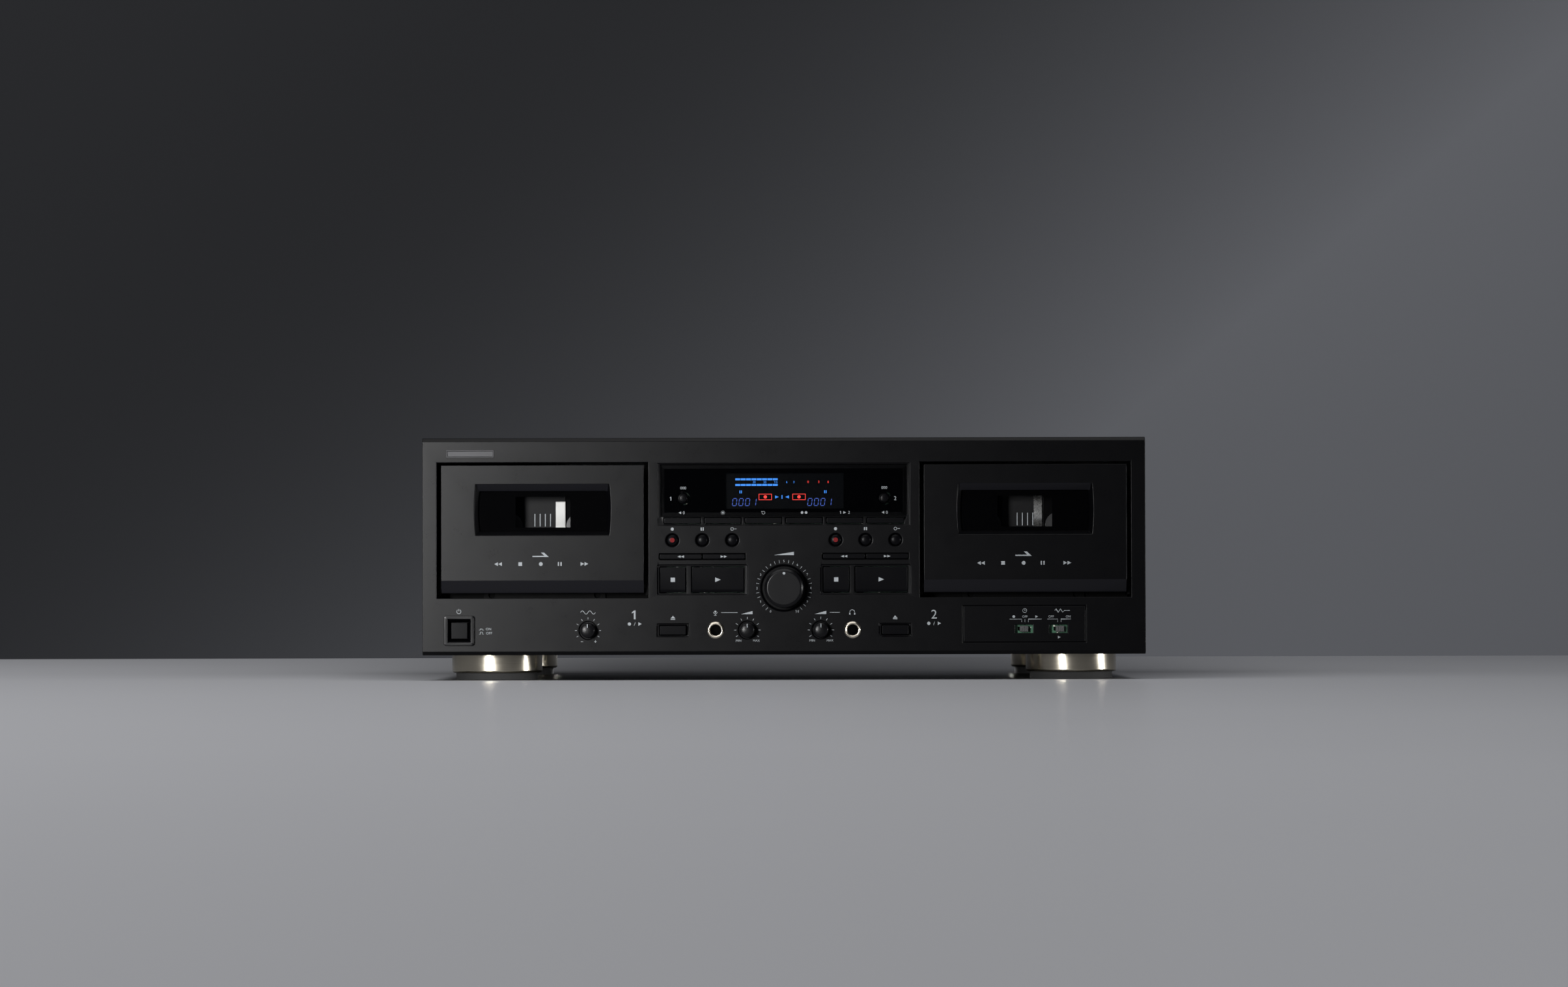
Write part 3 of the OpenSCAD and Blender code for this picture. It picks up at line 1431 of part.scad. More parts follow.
module cassette_holder(deck) {
    wall_x = well_w / 2;
    outer_x = wall_x + holder_t;
    rail_top = well_z + holder_h;
    rail_foot = door_z + holder_foot;
    pin_room = pivot_d + pin_dia / 2 + over;
    pin_x = wall_x + holder_t / 2;
    color(key_black) in_deck(deck) {
        block([-outer_x, holder_front, rail_foot], [outer_x, well_front, rail_foot + holder_bar]);
        for (s = [-1, 1]) {
            translate([s * (outer_x - (holder_t + holder_lip) / 2), 0, 0]) {
                half = (holder_t + holder_lip) / 2;
                block([-half, holder_front, rail_foot], [half, well_front, rail_top]);
                block([-half, well_back, well_z], [half, well_back + holder_t, rail_top]);
            }
            translate([s * (wall_x + holder_t / 2), 0, 0]) {
                block([-holder_t / 2, holder_front, rail_foot], [holder_t / 2, pin_room, well_z]);
                block(
                    [-holder_t / 2, holder_front, well_z - holder_t],
                    [holder_t / 2, well_back + holder_t, rail_top]
                );
            }
            translate([s * (wall_x - support_w / 2), 0, 0])
                block(
                    [-support_w / 2, holder_front, well_z - holder_t],
                    [support_w / 2, well_back + holder_t, well_z]
                );
            translate([s * pin_x, pivot_d, pivot_z])
                rotate([0, s * 90, 0]) cylinder(d = pin_dia, h = bracket_x + bracket_t - pin_x);
        }
    }
}

// Supply is way -1, take-up is way 1
module spindle(deck, way) {
    splines_d = hub_tip + tip_l;
    table_front = plate_d - move_gap - table_t;
    table_back = plate_d - move_gap;
    color("#38383a") in_deck(deck) translate([way * hub_pitch / 2, 0, hub_z]) {
        turned([
            [0, hub_tip], [hub_dia / 4, hub_tip], [hub_dia / 2, splines_d], [hub_dia / 2, table_front],
            [table_dia / 2, table_front], [table_dia / 2, table_back], [hub_shaft / 2, table_back],
            [hub_shaft / 2, disc_front], [disc_dia / 2, disc_front], [disc_dia / 2, disc_back], [0, disc_back]
        ]);
        for (i = [0:2]) rotate([0, i * 120, 0]) block(
            [hub_dia / 4, splines_d + spline_t, -spline_t / 2],
            [hub_dia / 2 + spline_h, table_front + over, spline_t / 2]
        );
    }
}

module capstan_flywheel(deck) {
    color(steel) in_deck(deck) translate([capstan_x, 0, capstan_z]) {
        rod(capstan_dia, hub_tip - over, bridge_d + bridge_t - move_gap);
        rod(flywheel_dia, flywheel_front, flywheel_front + flywheel_t);
    }
}

module head_carriage(deck) {
    head_front = carriage_d - head_l - head_mount;
    head_top = well_z - head_clear;
    erase_x = -hub_pitch / 2;
    color(steel) in_deck(deck) {
        difference() {
            block([-carriage_w / 2, carriage_d, carriage_z], [carriage_w / 2, carriage_back, carriage_top]);
            for (s = [-1, 1]) translate([s * stud_x, 0, stud_z]) {
                for (z = [-carriage_travel, 0]) translate([0, 0, z])
                    rod(2 * slot_r, carriage_d - over, carriage_back + over);
                block([-slot_r, carriage_d - over, -carriage_travel], [slot_r, carriage_back + over, 0]);
            }
        }
        intersection() {
            block([-head_w / 2, head_front, head_top - head_h], [head_w / 2, carriage_d + over, head_top]);
            translate([0, 0, head_top - head_w]) rod(2 * head_w, head_front - over, carriage_d + 2 * over);
        }
        block(
            [erase_x - erase_w / 2, head_front + over, head_top - head_h],
            [erase_x + erase_w / 2, carriage_d + over, carriage_top]
        );
        translate([capstan_x, 0, roller_z]) {
            rod(roller_dia, head_front + over, head_front + over + roller_l);
            rod(roller_axle, head_front, carriage_d + over);
        }
    }
}

front_panel();
base_pan();
top_cover();
rear_panel();
foot_rings();
foot_pads();
case_screws();
display_window();
front_board();
main_board();
power_transformer();
rear_sockets();
front_jacks();
power_switch();
transport_frames();
power_button();
slim_key(0);  // zero_return_key_1
slim_key(1);  // dimmer_key
slim_key(2);  // repeat_key
slim_key(3);  // parallel_key
slim_key(4);  // dub_start_key
slim_key(5);  // zero_return_key_2
record_level_knob();
small_knob(-pitch_x);  // pitch_knob
small_knob(-level_x);  // mic_level_knob
small_knob(level_x);  // phones_level_knob
slider(timer_x);  // timer_slider
slider(noise_x + slide_step / 2);  // noise_slider
for (deck = [1, 2]) {
    reset_button(deck);
    round_button(deck, -1);
    round_button(deck, 0);
    round_button(deck, 1);
    bar_key(deck, -1);
    bar_key(deck, 1);
    transport_key(deck, -stop_x, stop_w);
    transport_key(deck, play_x, play_w);
    eject_key(deck);
    door_panel(deck);
    door_window(deck);
    cassette_holder(deck);
    spindle(deck, -1);
    spindle(deck, 1);
    capstan_flywheel(deck);
    head_carriage(deck);
}
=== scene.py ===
"""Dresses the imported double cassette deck: soft edges, finishes, marks, a lit display and a stage."""

import json
import math

import bpy
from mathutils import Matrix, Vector

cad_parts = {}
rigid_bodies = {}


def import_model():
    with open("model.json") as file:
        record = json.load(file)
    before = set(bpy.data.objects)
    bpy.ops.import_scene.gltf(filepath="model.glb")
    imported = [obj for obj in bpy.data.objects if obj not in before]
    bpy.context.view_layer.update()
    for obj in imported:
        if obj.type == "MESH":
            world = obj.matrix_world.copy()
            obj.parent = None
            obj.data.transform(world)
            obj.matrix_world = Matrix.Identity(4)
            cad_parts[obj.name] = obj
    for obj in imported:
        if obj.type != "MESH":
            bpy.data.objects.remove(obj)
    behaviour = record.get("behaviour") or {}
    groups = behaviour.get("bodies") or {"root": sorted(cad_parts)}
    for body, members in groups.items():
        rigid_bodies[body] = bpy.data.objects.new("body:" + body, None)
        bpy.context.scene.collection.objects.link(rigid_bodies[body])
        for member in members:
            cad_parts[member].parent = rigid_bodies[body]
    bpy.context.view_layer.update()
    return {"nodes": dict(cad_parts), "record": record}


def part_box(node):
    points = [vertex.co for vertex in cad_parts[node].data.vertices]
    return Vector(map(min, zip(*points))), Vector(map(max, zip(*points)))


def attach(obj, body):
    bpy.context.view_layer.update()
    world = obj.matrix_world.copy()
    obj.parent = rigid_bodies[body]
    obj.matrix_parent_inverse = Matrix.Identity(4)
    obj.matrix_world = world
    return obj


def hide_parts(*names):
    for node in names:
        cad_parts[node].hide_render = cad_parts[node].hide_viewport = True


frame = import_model()

bl_info = {
    "name": "Double cassette deck",
    "version": (1, 0, 0),
    "blender": (4, 5, 0),
    "location": "View3D > Sidebar > Deck",
    "description": "Dresses a packed cassette deck with finishes, printed marks and a stage",
    "category": "Object",
}

# Places, in millimetres: x from the middle, d behind the panel's face, z above the floor
MM = 0.001
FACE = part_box("front_panel")[0].y
BODY = {node: body for body, nodes in frame["record"]["behaviour"]["bodies"].items() for node in nodes}
SLOT = {part["node"]: part["material_slot"] for part in frame["record"]["subparts"]}
DECKS = (1, 2)
SMALL_KNOBS = ("pitch_knob", "mic_level_knob", "phones_level_knob")
# Heights of the rows of marks over the round buttons, over the slim keys and over the jacks
BUTTON_ROW = 90.8
SLIM_ROW = 100.6
JACK_ROW = 40.5
# Width of the printed lines, how far a mask stands behind its window, and the depth of the display
LINE = 0.22
MASK_GAP = 0.06
TUBE_FACE = 7.0
LIT_FACE = 6.95


def place(x, d, z):
    """A point of the deck in metres."""
    return Vector((x * MM, FACE + d * MM, z * MM))


def middle(node):
    """Middle of a node seen from the front, as x and z in millimetres."""
    low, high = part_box(node)
    return (low.x + high.x) / 2 / MM, (low.z + high.z) / 2 / MM


def span(node):
    """A node's lowest and highest x, d and z in millimetres."""
    low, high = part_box(node)
    low, high = (Vector((v.x, v.y - FACE, v.z)) / MM for v in (low, high))
    return low, high


# Values that a user would change
class CaseLook(bpy.types.PropertyGroup):
    """Panel, cover and badge."""
    panel_colour: bpy.props.FloatVectorProperty(
        name="Panel colour", description="Colour of the front panel and the doors",
        subtype="COLOR", size=3, min=0, max=1, default=(0.0010, 0.0010, 0.0013))
    # Painted light: a lighter colour on the doors' bands and window heads for the light they get from the
    # floor
    lifted_colour: bpy.props.FloatVectorProperty(
        name="Band colour", description="Colour of the doors' bands and window heads",
        subtype="COLOR", size=3, min=0, max=1, default=(0.0053, 0.0053, 0.0066))
    case_colour: bpy.props.FloatVectorProperty(
        name="Case colour", description="Colour of the painted sheet metal",
        subtype="COLOR", size=3, min=0, max=1, default=(0.012, 0.012, 0.013))
    panel_edge: bpy.props.FloatProperty(
        name="Panel edge", description="Rounding of the front panel's edges",
        unit="LENGTH", min=0, default=0.00035)
    sheet_edge: bpy.props.FloatProperty(
        name="Sheet edge", description="Rounding of the sheet metal's edges",
        unit="LENGTH", min=0, default=0.0002)
    badge_width: bpy.props.FloatProperty(
        name="Badge width", description="Width of the blank plate on the panel",
        unit="LENGTH", min=0.01, default=0.0286)
    badge_height: bpy.props.FloatProperty(
        name="Badge height", description="Height of the blank plate on the panel",
        unit="LENGTH", min=0.001, default=0.0046)


class FootLook(bpy.types.PropertyGroup):
    """Feet."""
    ring_colour: bpy.props.FloatVectorProperty(
        name="Ring colour", description="Colour of the turned metal rings",
        subtype="COLOR", size=3, min=0, max=1, default=(0.40, 0.368, 0.30))
    ring_edge: bpy.props.FloatProperty(
        name="Ring edge", description="Rounding of the rings' edges",
        unit="LENGTH", min=0, default=0.0006)


class WindowLook(bpy.types.PropertyGroup):
    """Door windows and display window."""
    smoke_colour: bpy.props.FloatVectorProperty(
        name="Smoke colour", description="Tint of the smoked windows",
        subtype="COLOR", size=3, min=0, max=1, default=(0.0003, 0.00035, 0.0006))
    door_alpha: bpy.props.FloatProperty(
        name="Door window cover", description="How much the door windows hide",
        subtype="FACTOR", min=0, max=1, default=0.16)
    display_alpha: bpy.props.FloatProperty(
        name="Display window cover", description="How much the display window hides",
        subtype="FACTOR", min=0, max=1, default=0.5)
    clear_width: bpy.props.FloatProperty(
        name="Clear width", description="Width of a door window's clear part",
        unit="LENGTH", min=0.01, default=0.033)
    clear_height: bpy.props.FloatProperty(
        name="Clear height", description="Height of a door window's clear part",
        unit="LENGTH", min=0.005, default=0.0186)
    clear_sill: bpy.props.FloatProperty(
        name="Clear sill", description="Height of the clear part's lower edge above the floor",
        unit="LENGTH", min=0.01, default=0.092)
    glow_strength: bpy.props.FloatProperty(
        name="Glow", description="Strength of the lit display", min=0, default=2.05)
    blue_glow: bpy.props.FloatVectorProperty(
        name="Blue glow", description="Colour of the lit segments",
        subtype="COLOR", size=3, min=0, max=1, default=(0.044, 0.278, 0.95))
    counter_glow: bpy.props.FloatVectorProperty(
        name="Counter glow", description="Colour of the two lit counters",
        subtype="COLOR", size=3, min=0, max=1, default=(0.040, 0.080, 0.36))
    red_glow: bpy.props.FloatVectorProperty(
        name="Red glow", description="Colour of the lit red marks",
        subtype="COLOR", size=3, min=0, max=1, default=(1.0, 0.05, 0.04))


class ControlLook(bpy.types.PropertyGroup):
    """Keys, knobs and switches."""
    key_colour: bpy.props.FloatVectorProperty(
        name="Key colour", description="Colour of the keys",
        subtype="COLOR", size=3, min=0, max=1, default=(0.0013, 0.0013, 0.0017))
    knob_colour: bpy.props.FloatVectorProperty(
        name="Knob colour", description="Colour of the knobs",
        subtype="COLOR", size=3, min=0, max=1, default=(0.0020, 0.0020, 0.0024))
    key_edge: bpy.props.FloatProperty(
        name="Key edge", description="Rounding of the keys' edges",
        unit="LENGTH", min=0, default=0.0003)
    knob_edge: bpy.props.FloatProperty(
        name="Knob edge", description="Rounding of the record level knob's edge",
        unit="LENGTH", min=0, default=0.0005)


class PrintLook(bpy.types.PropertyGroup):
    """Printed marks."""
    print_colour: bpy.props.FloatVectorProperty(
        name="Print colour", description="Colour of the printed marks",
        subtype="COLOR", size=3, min=0, max=1, default=(0.165, 0.178, 0.188))
    red_colour: bpy.props.FloatVectorProperty(
        name="Red mark colour", description="Colour of the record marks",
        subtype="COLOR", size=3, min=0, max=1, default=(0.095, 0.004, 0.005))
    print_height: bpy.props.FloatProperty(
        name="Print height", description="How far the print stands on its face",
        unit="LENGTH", min=0.00001, default=0.00004)


class StageLook(bpy.types.PropertyGroup):
    """Floor, backdrop, lights and camera."""
    floor_colour: bpy.props.FloatVectorProperty(
        name="Floor colour", description="Colour of the floor",
        subtype="COLOR", size=3, min=0, max=1, default=(0.535, 0.540, 0.567))
    back_colour: bpy.props.FloatVectorProperty(
        name="Backdrop colour", description="Colour of the backdrop",
        subtype="COLOR", size=3, min=0, max=1, default=(0.282, 0.290, 0.315))
    back_distance: bpy.props.FloatProperty(
        name="Backdrop distance", description="From the panel's face to the backdrop",
        unit="LENGTH", min=0.5, default=1.02)
    camera_distance: bpy.props.FloatProperty(
        name="Camera distance", description="From the camera to the panel's face",
        unit="LENGTH", min=0.5, default=2.74)
    camera_height: bpy.props.FloatProperty(
        name="Camera height", description="Height of the camera above the floor",
        unit="LENGTH", min=0, default=0.05)
    camera_lens: bpy.props.FloatProperty(
        name="Lens", description="Focal length of the camera",
        subtype="DISTANCE_CAMERA", min=10, default=104.6)


class DeckLook(bpy.types.PropertyGroup):
    """All the looks of the deck."""
    case: bpy.props.PointerProperty(type=CaseLook, name="Case", description="Panel, cover and badge")
    foot: bpy.props.PointerProperty(type=FootLook, name="Feet", description="Feet")
    window: bpy.props.PointerProperty(type=WindowLook, name="Windows", description="Windows and display")
    control: bpy.props.PointerProperty(type=ControlLook, name="Controls", description="Keys and knobs")
    prints: bpy.props.PointerProperty(type=PrintLook, name="Prints", description="Printed marks")
    stage: bpy.props.PointerProperty(type=StageLook, name="Stage", description="Floor, lights and camera")


def look():
    """The values of this scene."""
    return bpy.context.scene.deck_look


# Shader values and finishes
class Signal:
    """A shader socket in sums: each operator adds a Math node."""

    def __init__(self, finish, socket):
        self.finish = finish
        self.socket = socket

    def math(self, operation, left, right):
        """A Math node on two signals or numbers."""
        return self.finish.add("ShaderNodeMath", {"operation": operation}, {0: left, 1: right})

    def __add__(self, other):
        return self.math("ADD", self, other)

    def __radd__(self, other):
        return self.math("ADD", other, self)

    def __sub__(self, other):
        return self.math("SUBTRACT", self, other)

    def __rsub__(self, other):
        return self.math("SUBTRACT", other, self)

    def __mul__(self, other):
        return self.math("MULTIPLY", self, other)

    def __truediv__(self, other):
        return self.math("DIVIDE", self, other)

    def __gt__(self, other):
        return self.math("GREATER_THAN", self, other)

    def __lt__(self, other):
        return self.math("LESS_THAN", self, other)

    def power(self, other):
        """The signal to a power."""
        return self.math("POWER", self, other)

    def clamped(self):
        """The signal kept between 0 and 1."""
        return self.math("MAXIMUM", self.math("MINIMUM", self, 1.0), 0.0)


class Finish:
    """One material: a Principled shader and the nodes that feed it."""

    def __init__(self, name):
        self.material = bpy.data.materials.new(name)
        self.material.use_nodes = True
        self.tree = self.material.node_tree
        self.tree.nodes.clear()
        self.shader = self.tree.nodes.new("ShaderNodeBsdfPrincipled")
        self.output = self.tree.nodes.new("ShaderNodeOutputMaterial")
        self.tree.links.new(self.shader.outputs[0], self.output.inputs["Surface"])
        self.place = None

    def put(self, socket, value):
        """Links a socket to a signal, or sets its value."""
        if isinstance(value, Signal):
            self.tree.links.new(value.socket, socket)
        elif hasattr(value, "__len__") and len(value) == 3 and socket.type == "RGBA":
            socket.default_value = (*value, 1.0)
        else:
            socket.default_value = value

    def add(self, kind, settings, sockets, output=0):
        """Adds a node: its settings first, then the values and links of its sockets."""
        node = self.tree.nodes.new(kind)
        for key, value in settings.items():
            setattr(node, key, value)
        for key, value in sockets.items():
            self.put(node.inputs[key], value)
        return Signal(self, node.outputs[output])

    def shade(self, **sockets):
        """Sets the shader's sockets, with underscores for the spaces in their names."""
        for key, value in sockets.items():
            self.put(self.shader.inputs[key.replace("_", " ")], value)
        return self

    def one_sided(self):
        """Lets a sheet be seen through from behind."""
        behind = self.add("ShaderNodeNewGeometry", {}, {}, "Backfacing")
        clear = self.add("ShaderNodeBsdfTransparent", {}, {})
        front = Signal(self, self.shader.outputs[0])
        both = self.add("ShaderNodeMixShader", {}, {0: behind, 1: front, 2: clear})
        self.put(self.output.inputs["Surface"], both)

    def where(self):
        """The object coordinates, one node for the whole finish."""
        if self.place is None:
            self.place = self.add("ShaderNodeTexCoord", {}, {}, "Object")
        return self.place

    def axis(self, name):
        """One of the object coordinates, in metres."""
        return self.add("ShaderNodeSeparateXYZ", {}, {0: self.where()}, name)

    def stretched(self, scale):
        """Object coordinates stretched for brushed and turned marks."""
        return self.add(
            "ShaderNodeMapping", {"vector_type": "POINT"}, {"Vector": self.where(), "Scale": scale})

    def noise(self, size, detail=2.0, rough=0.5, vector=None):
        """Noise with features of that size, in metres."""
        return self.add(
            "ShaderNodeTexNoise", {"noise_dimensions": "3D"},
            {"Vector": vector or self.where(), "Scale": 1 / size, "Detail": detail, "Roughness": rough})

    def blend(self, factor, first, second):
        """A colour between two, by a factor."""
        return self.add("ShaderNodeMix", {"data_type": "RGBA"}, {0: factor, 6: first, 7: second}, 2)

    def tones(self, signal, colour, spread):
        """A colour that goes from darker to lighter with a signal of 0 to 1."""
        dark = tuple(c * (1 - spread) for c in colour)
        light = tuple(min(1, c * (1 + spread)) for c in colour)
        return self.blend(signal, dark, light)

    def bump(self, height, depth):
        """A bumped normal; depth is the height of the bumps in metres."""
        return self.add("ShaderNodeBump", {}, {"Strength": 1.0, "Distance": depth, "Height": height})


# Materials made so far, by their slots
FINISHES = {}
# Places in metres that a finish changes at: the lit counters, and a door's lower band and its window's
# head, which get painted light from the floor
COUNTER_TOP = 0.1096
COUNTER_SIDE = 0.0135
BAND_HIGH = 0.0076
HEAD_DROP = 0.0013
HEAD_RISE = 0.0029
# The same for the mains inlet, the jacks' collars, the end of the transport frame's painted shade and the
# heads
INLET_LEFT = 0.12
SOCKET_FRONT = 0.0002
COLLAR_BACK = 0.0003
FRAME_FRONT = 0.0262
HEADS_FOOT = 0.0545
# Share of the transformer's height under its taped top
TAPE_FOOT = 0.93


def plastic(name, colour, rough, grain, depth, spread=0.1, sheen=0.03, gloss=0.5):
    """Moulded plastic or fine paint: grain, a slow change of tone and of gloss."""
    finish = Finish(name)
    fine = finish.noise(grain, 3.0, 0.6)
    slow = finish.noise(0.045, 3.0, 0.55)
    smear = finish.noise(0.012, 4.0, 0.65)
    return finish.shade(
        Base_Color=finish.tones(slow * 0.7 + fine * 0.3, colour, spread),
        Roughness=rough + (smear - 0.5) * (2 * sheen) + (fine - 0.5) * 0.06,
        Specular_IOR_Level=gloss,
        Normal=finish.bump(fine, depth))


def panel(name, colour, painted_light_colour):
    """Panel plastic, with painted light on the faces of a door that look down at the lit floor: its band
    and its window's head get a lighter colour for the light from the floor.
    """
    finish = plastic(name, colour, 0.29, 0.0006, 0.000006, gloss=0.085)
    low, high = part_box("door_panel_2")
    pane_low, pane_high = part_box("door_window_2")
    across = finish.axis("X")
    height = finish.axis("Z")
    square = across * across
    band = (height < low.z + BAND_HIGH) * (height > low.z)
    band = band * (square > low.x ** 2) * (square < high.x ** 2)
    head = (height > pane_high.z - HEAD_DROP) * (height < pane_high.z + HEAD_RISE)
    head = head * (square > pane_low.x ** 2) * (square < pane_high.x ** 2)
    # Painted light: the band and the window's head take the lighter colour for the light from the floor
    plain = Signal(finish, finish.shader.inputs["Base Color"].links[0].from_socket)
    return finish.shade(Base_Color=finish.blend(band + head, plain, painted_light_colour))


def paint(name, colour, rough, grain, depth):
    """Textured paint on sheet metal: rounded grains of two sizes."""
    finish = Finish(name)
    cells = finish.add(
        "ShaderNodeTexVoronoi", {"feature": "SMOOTH_F1"},
        {"Vector": finish.where(), "Scale": 1 / grain, "Smoothness": 0.6})
    fine = finish.noise(grain * 0.6, 2.0)
    slow = finish.noise(0.08, 3.0)
    return finish.shade(
        Base_Color=finish.tones(slow * 0.6 + cells * 0.4, colour, 0.16),
        Roughness=rough + (slow - 0.5) * 0.1 + (fine - 0.5) * 0.1,
        Normal=finish.bump(cells * 0.8 + fine * 0.4, depth))


def metal(name, colour, rough, scale, depth, spread=0.12):
    """Metal with drawn or turned marks: noise stretched along the marks."""
    finish = Finish(name)
    marks = finish.noise(0.001, 3.0, 0.6, finish.stretched(scale))
    slow = finish.noise(0.02, 3.0, 0.6)
    return finish.shade(
        Base_Color=finish.tones(slow * 0.5 + marks * 0.5, colour, spread),
        Metallic=1.0,
        Roughness=rough + (marks - 0.5) * 0.16 + (slow - 0.5) * 0.1,
        Normal=finish.bump(marks, depth))


def smoke(name, colour, cover):
    """Smoked window: dark and polished, denser at a flat angle; each of its two faces hides a part."""
    finish = Finish(name)
    slant = finish.add("ShaderNodeLayerWeight", {}, {"Blend": 0.5}, "Facing")
    least = 0.034
    edge = least + slant.power(5.0) * (1 - least)
    smear = finish.noise(0.018, 4.0, 0.6)
    each = 1 - math.sqrt(1 - cover)
    return finish.shade(
        Base_Color=finish.tones(smear, colour, 0.2),
        Roughness=0.03 + smear * 0.05,
        Specular_IOR_Level=0.04,
        Alpha=each + edge * (1 - each))


def glow(name, colour, strength, counters=None):
    """Lit marks, a little uneven; the two counters below them can have a colour of their own."""
    finish = Finish(name)
    mesh = finish.noise(0.0004, 2.0)
    lit = finish.tones(mesh, colour, 0.12)
    if counters:
        across = finish.axis("X")
        below = finish.axis("Z") < COUNTER_TOP
        lit = finish.blend(below * (across * across > COUNTER_SIDE ** 2), lit, counters)
    return finish.shade(
        Base_Color=tuple(c * 0.1 for c in colour),
        Roughness=0.5,
        Emission_Color=lit,
        Emission_Strength=strength)


def ink(name, colour, gloss=0.5):
    """Printed ink: matt, a little uneven."""
    finish = Finish(name)
    fine = finish.noise(0.0005, 3.0)
    return finish.shade(
        Base_Color=finish.tones(fine, colour, 0.12),
        Roughness=0.5 + fine * 0.2,
        Specular_IOR_Level=gloss,
        Normal=finish.bump(fine, 0.00001))


def board(name):
    """Circuit board: solder mask over tracks, and bare pads."""
    finish = Finish(name)
    tracks = finish.add(
        "ShaderNodeTexBrick", {"offset": 0.35, "squash": 0.7},
        {"Vector": finish.where(), "Scale": 60.0, "Color1": (1, 1, 1), "Color2": (0.6, 0.6, 0.6),
         "Mortar": (0, 0, 0), "Mortar Size": 0.05, "Brick Width": 0.6, "Row Height": 0.14}, "Color")
    dots = finish.add(
        "ShaderNodeTexVoronoi", {"feature": "F1"}, {"Vector": finish.where(), "Scale": 240.0}, "Distance")
    pads = dots < 0.18
    slow = finish.noise(0.03, 3.0)
    mask = finish.blend(tracks, (0.006, 0.05, 0.022), (0.012, 0.09, 0.04))
    return finish.shade(
        Base_Color=finish.blend(pads, mask, (0.5, 0.48, 0.44)),
        Metallic=pads * 0.9,
        Roughness=0.32 + slow * 0.2,
        Normal=finish.bump(finish.noise(0.0015, 2.0), 0.00005))


def core(name):
    """Transformer: stacked sheets with a taped top."""
    finish = Finish(name)
    sheets = finish.add(
        "ShaderNodeTexWave", {"wave_type": "BANDS", "bands_direction": "Y"},
        {"Vector": finish.where(), "Scale": 330.0, "Distortion": 0.4, "Detail": 2.0}, "Fac")
    slow = finish.noise(0.01, 4.0, 0.6)
    low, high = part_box("power_transformer")
    tall = finish.axis("Z") > (low.z + (high.z - low.z) * TAPE_FOOT)
    steel = finish.tones(slow * 0.5 + sheets * 0.5, (0.16, 0.15, 0.135), 0.35)
    return finish.shade(
        Base_Color=finish.blend(tall, steel, (0.3, 0.21, 0.05)),
        Metallic=(1 - tall) * 0.8,
        Roughness=0.42 + slow * 0.25,
        Normal=finish.bump(sheets, 0.00012))


def sockets(name):
    """Rear sockets: nickel barrels and shell, black mouldings behind them and round the inlet."""
    finish = Finish(name)
    slow = finish.noise(0.006, 3.0)
    inner = finish.axis("Y") < (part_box("rear_panel")[1].y - SOCKET_FRONT)
    inlet = finish.axis("X") > INLET_LEFT
    black = inner.math("MAXIMUM", inner, inlet)
    nickel = finish.tones(slow, (0.62, 0.59, 0.53), 0.1)
    dark = finish.tones(slow, (0.014, 0.014, 0.015), 0.3)
    return finish.shade(
        Base_Color=finish.blend(black, nickel, dark),
        Metallic=1 - black,
        Roughness=0.2 + black * 0.25 + slow * 0.12,
        Normal=finish.bump(finish.noise(0.0006, 2.0), 0.00001))


def jack(name):
    """Front jacks: a nickel collar on the panel and a black moulding behind it."""
    finish = Finish(name)
    slow = finish.noise(0.004, 3.0)
    black = finish.axis("Y") > (FACE + COLLAR_BACK)
    nickel = finish.tones(slow, (0.50, 0.46, 0.39), 0.08)
    return finish.shade(
        Base_Color=finish.blend(black, nickel, (0.006, 0.006, 0.0065)),
        Metallic=1 - black,
        Roughness=0.2 + black * 0.3 + slow * 0.1,
        Normal=finish.bump(finish.noise(0.0005, 2.0), 0.000005))


def chassis(name):
    """Transport frame: painted shade on the face that shows round the doors, near black for the shade in
    the gaps there, bare zinc behind.
    """
    finish = Finish(name)
    marks = finish.noise(0.001, 3.0, 0.6, finish.stretched((1.0, 1.0, 0.04)))
    slow = finish.noise(0.02, 3.0, 0.6)
    behind = finish.axis("Y") > (FACE + FRAME_FRONT)
    zinc = finish.tones(slow * 0.5 + marks * 0.5, (0.42, 0.42, 0.42), 0.12)
    return finish.shade(
        # Painted shade: the near-black colour in front stands for the shade in the gaps round the doors
        Base_Color=finish.blend(behind, (0.0015, 0.0015, 0.0016), zinc),
        Metallic=behind,
        Specular_IOR_Level=0.03,
        Roughness=0.6 - behind * 0.26 + (marks - 0.5) * 0.16,
        Normal=finish.bump(marks, 0.00001))


def heads(name):
    """Head carriage: a blackened plate below, polished heads and pinch roller above."""
    finish = Finish(name)
    slow = finish.noise(0.006, 3.0)
    bright = finish.axis("Z") > HEADS_FOOT
    steel = finish.tones(slow, (0.58, 0.57, 0.55), 0.12)
    return finish.shade(
        Base_Color=finish.blend(bright, (0.0015, 0.0015, 0.0016), steel),
        Metallic=bright,
        Specular_IOR_Level=0.03,
        Roughness=0.5 - bright * 0.28 + (slow - 0.5) * 0.1)


def felt(name):
    """Felt: matted fibres."""
    finish = Finish(name)
    fibres = finish.noise(0.0006, 6.0, 0.8, finish.stretched((1.0, 1.0, 0.35)))
    return finish.shade(
        Base_Color=finish.tones(fibres, (0.80, 0.80, 0.78), 0.15),
        Roughness=0.95,
        Sheen_Weight=0.3,
        Normal=finish.bump(fibres, 0.0003))


def rubber(name):
    """Rubber: matt, dusty in places."""
    finish = Finish(name)
    dust = finish.noise(0.008, 5.0, 0.7)
    fine = finish.noise(0.0006, 3.0)
    return finish.shade(
        Base_Color=finish.tones(dust, (0.005, 0.005, 0.005), 0.4),
        Roughness=0.75 + fine * 0.15,
        Normal=finish.bump(fine, 0.00005))


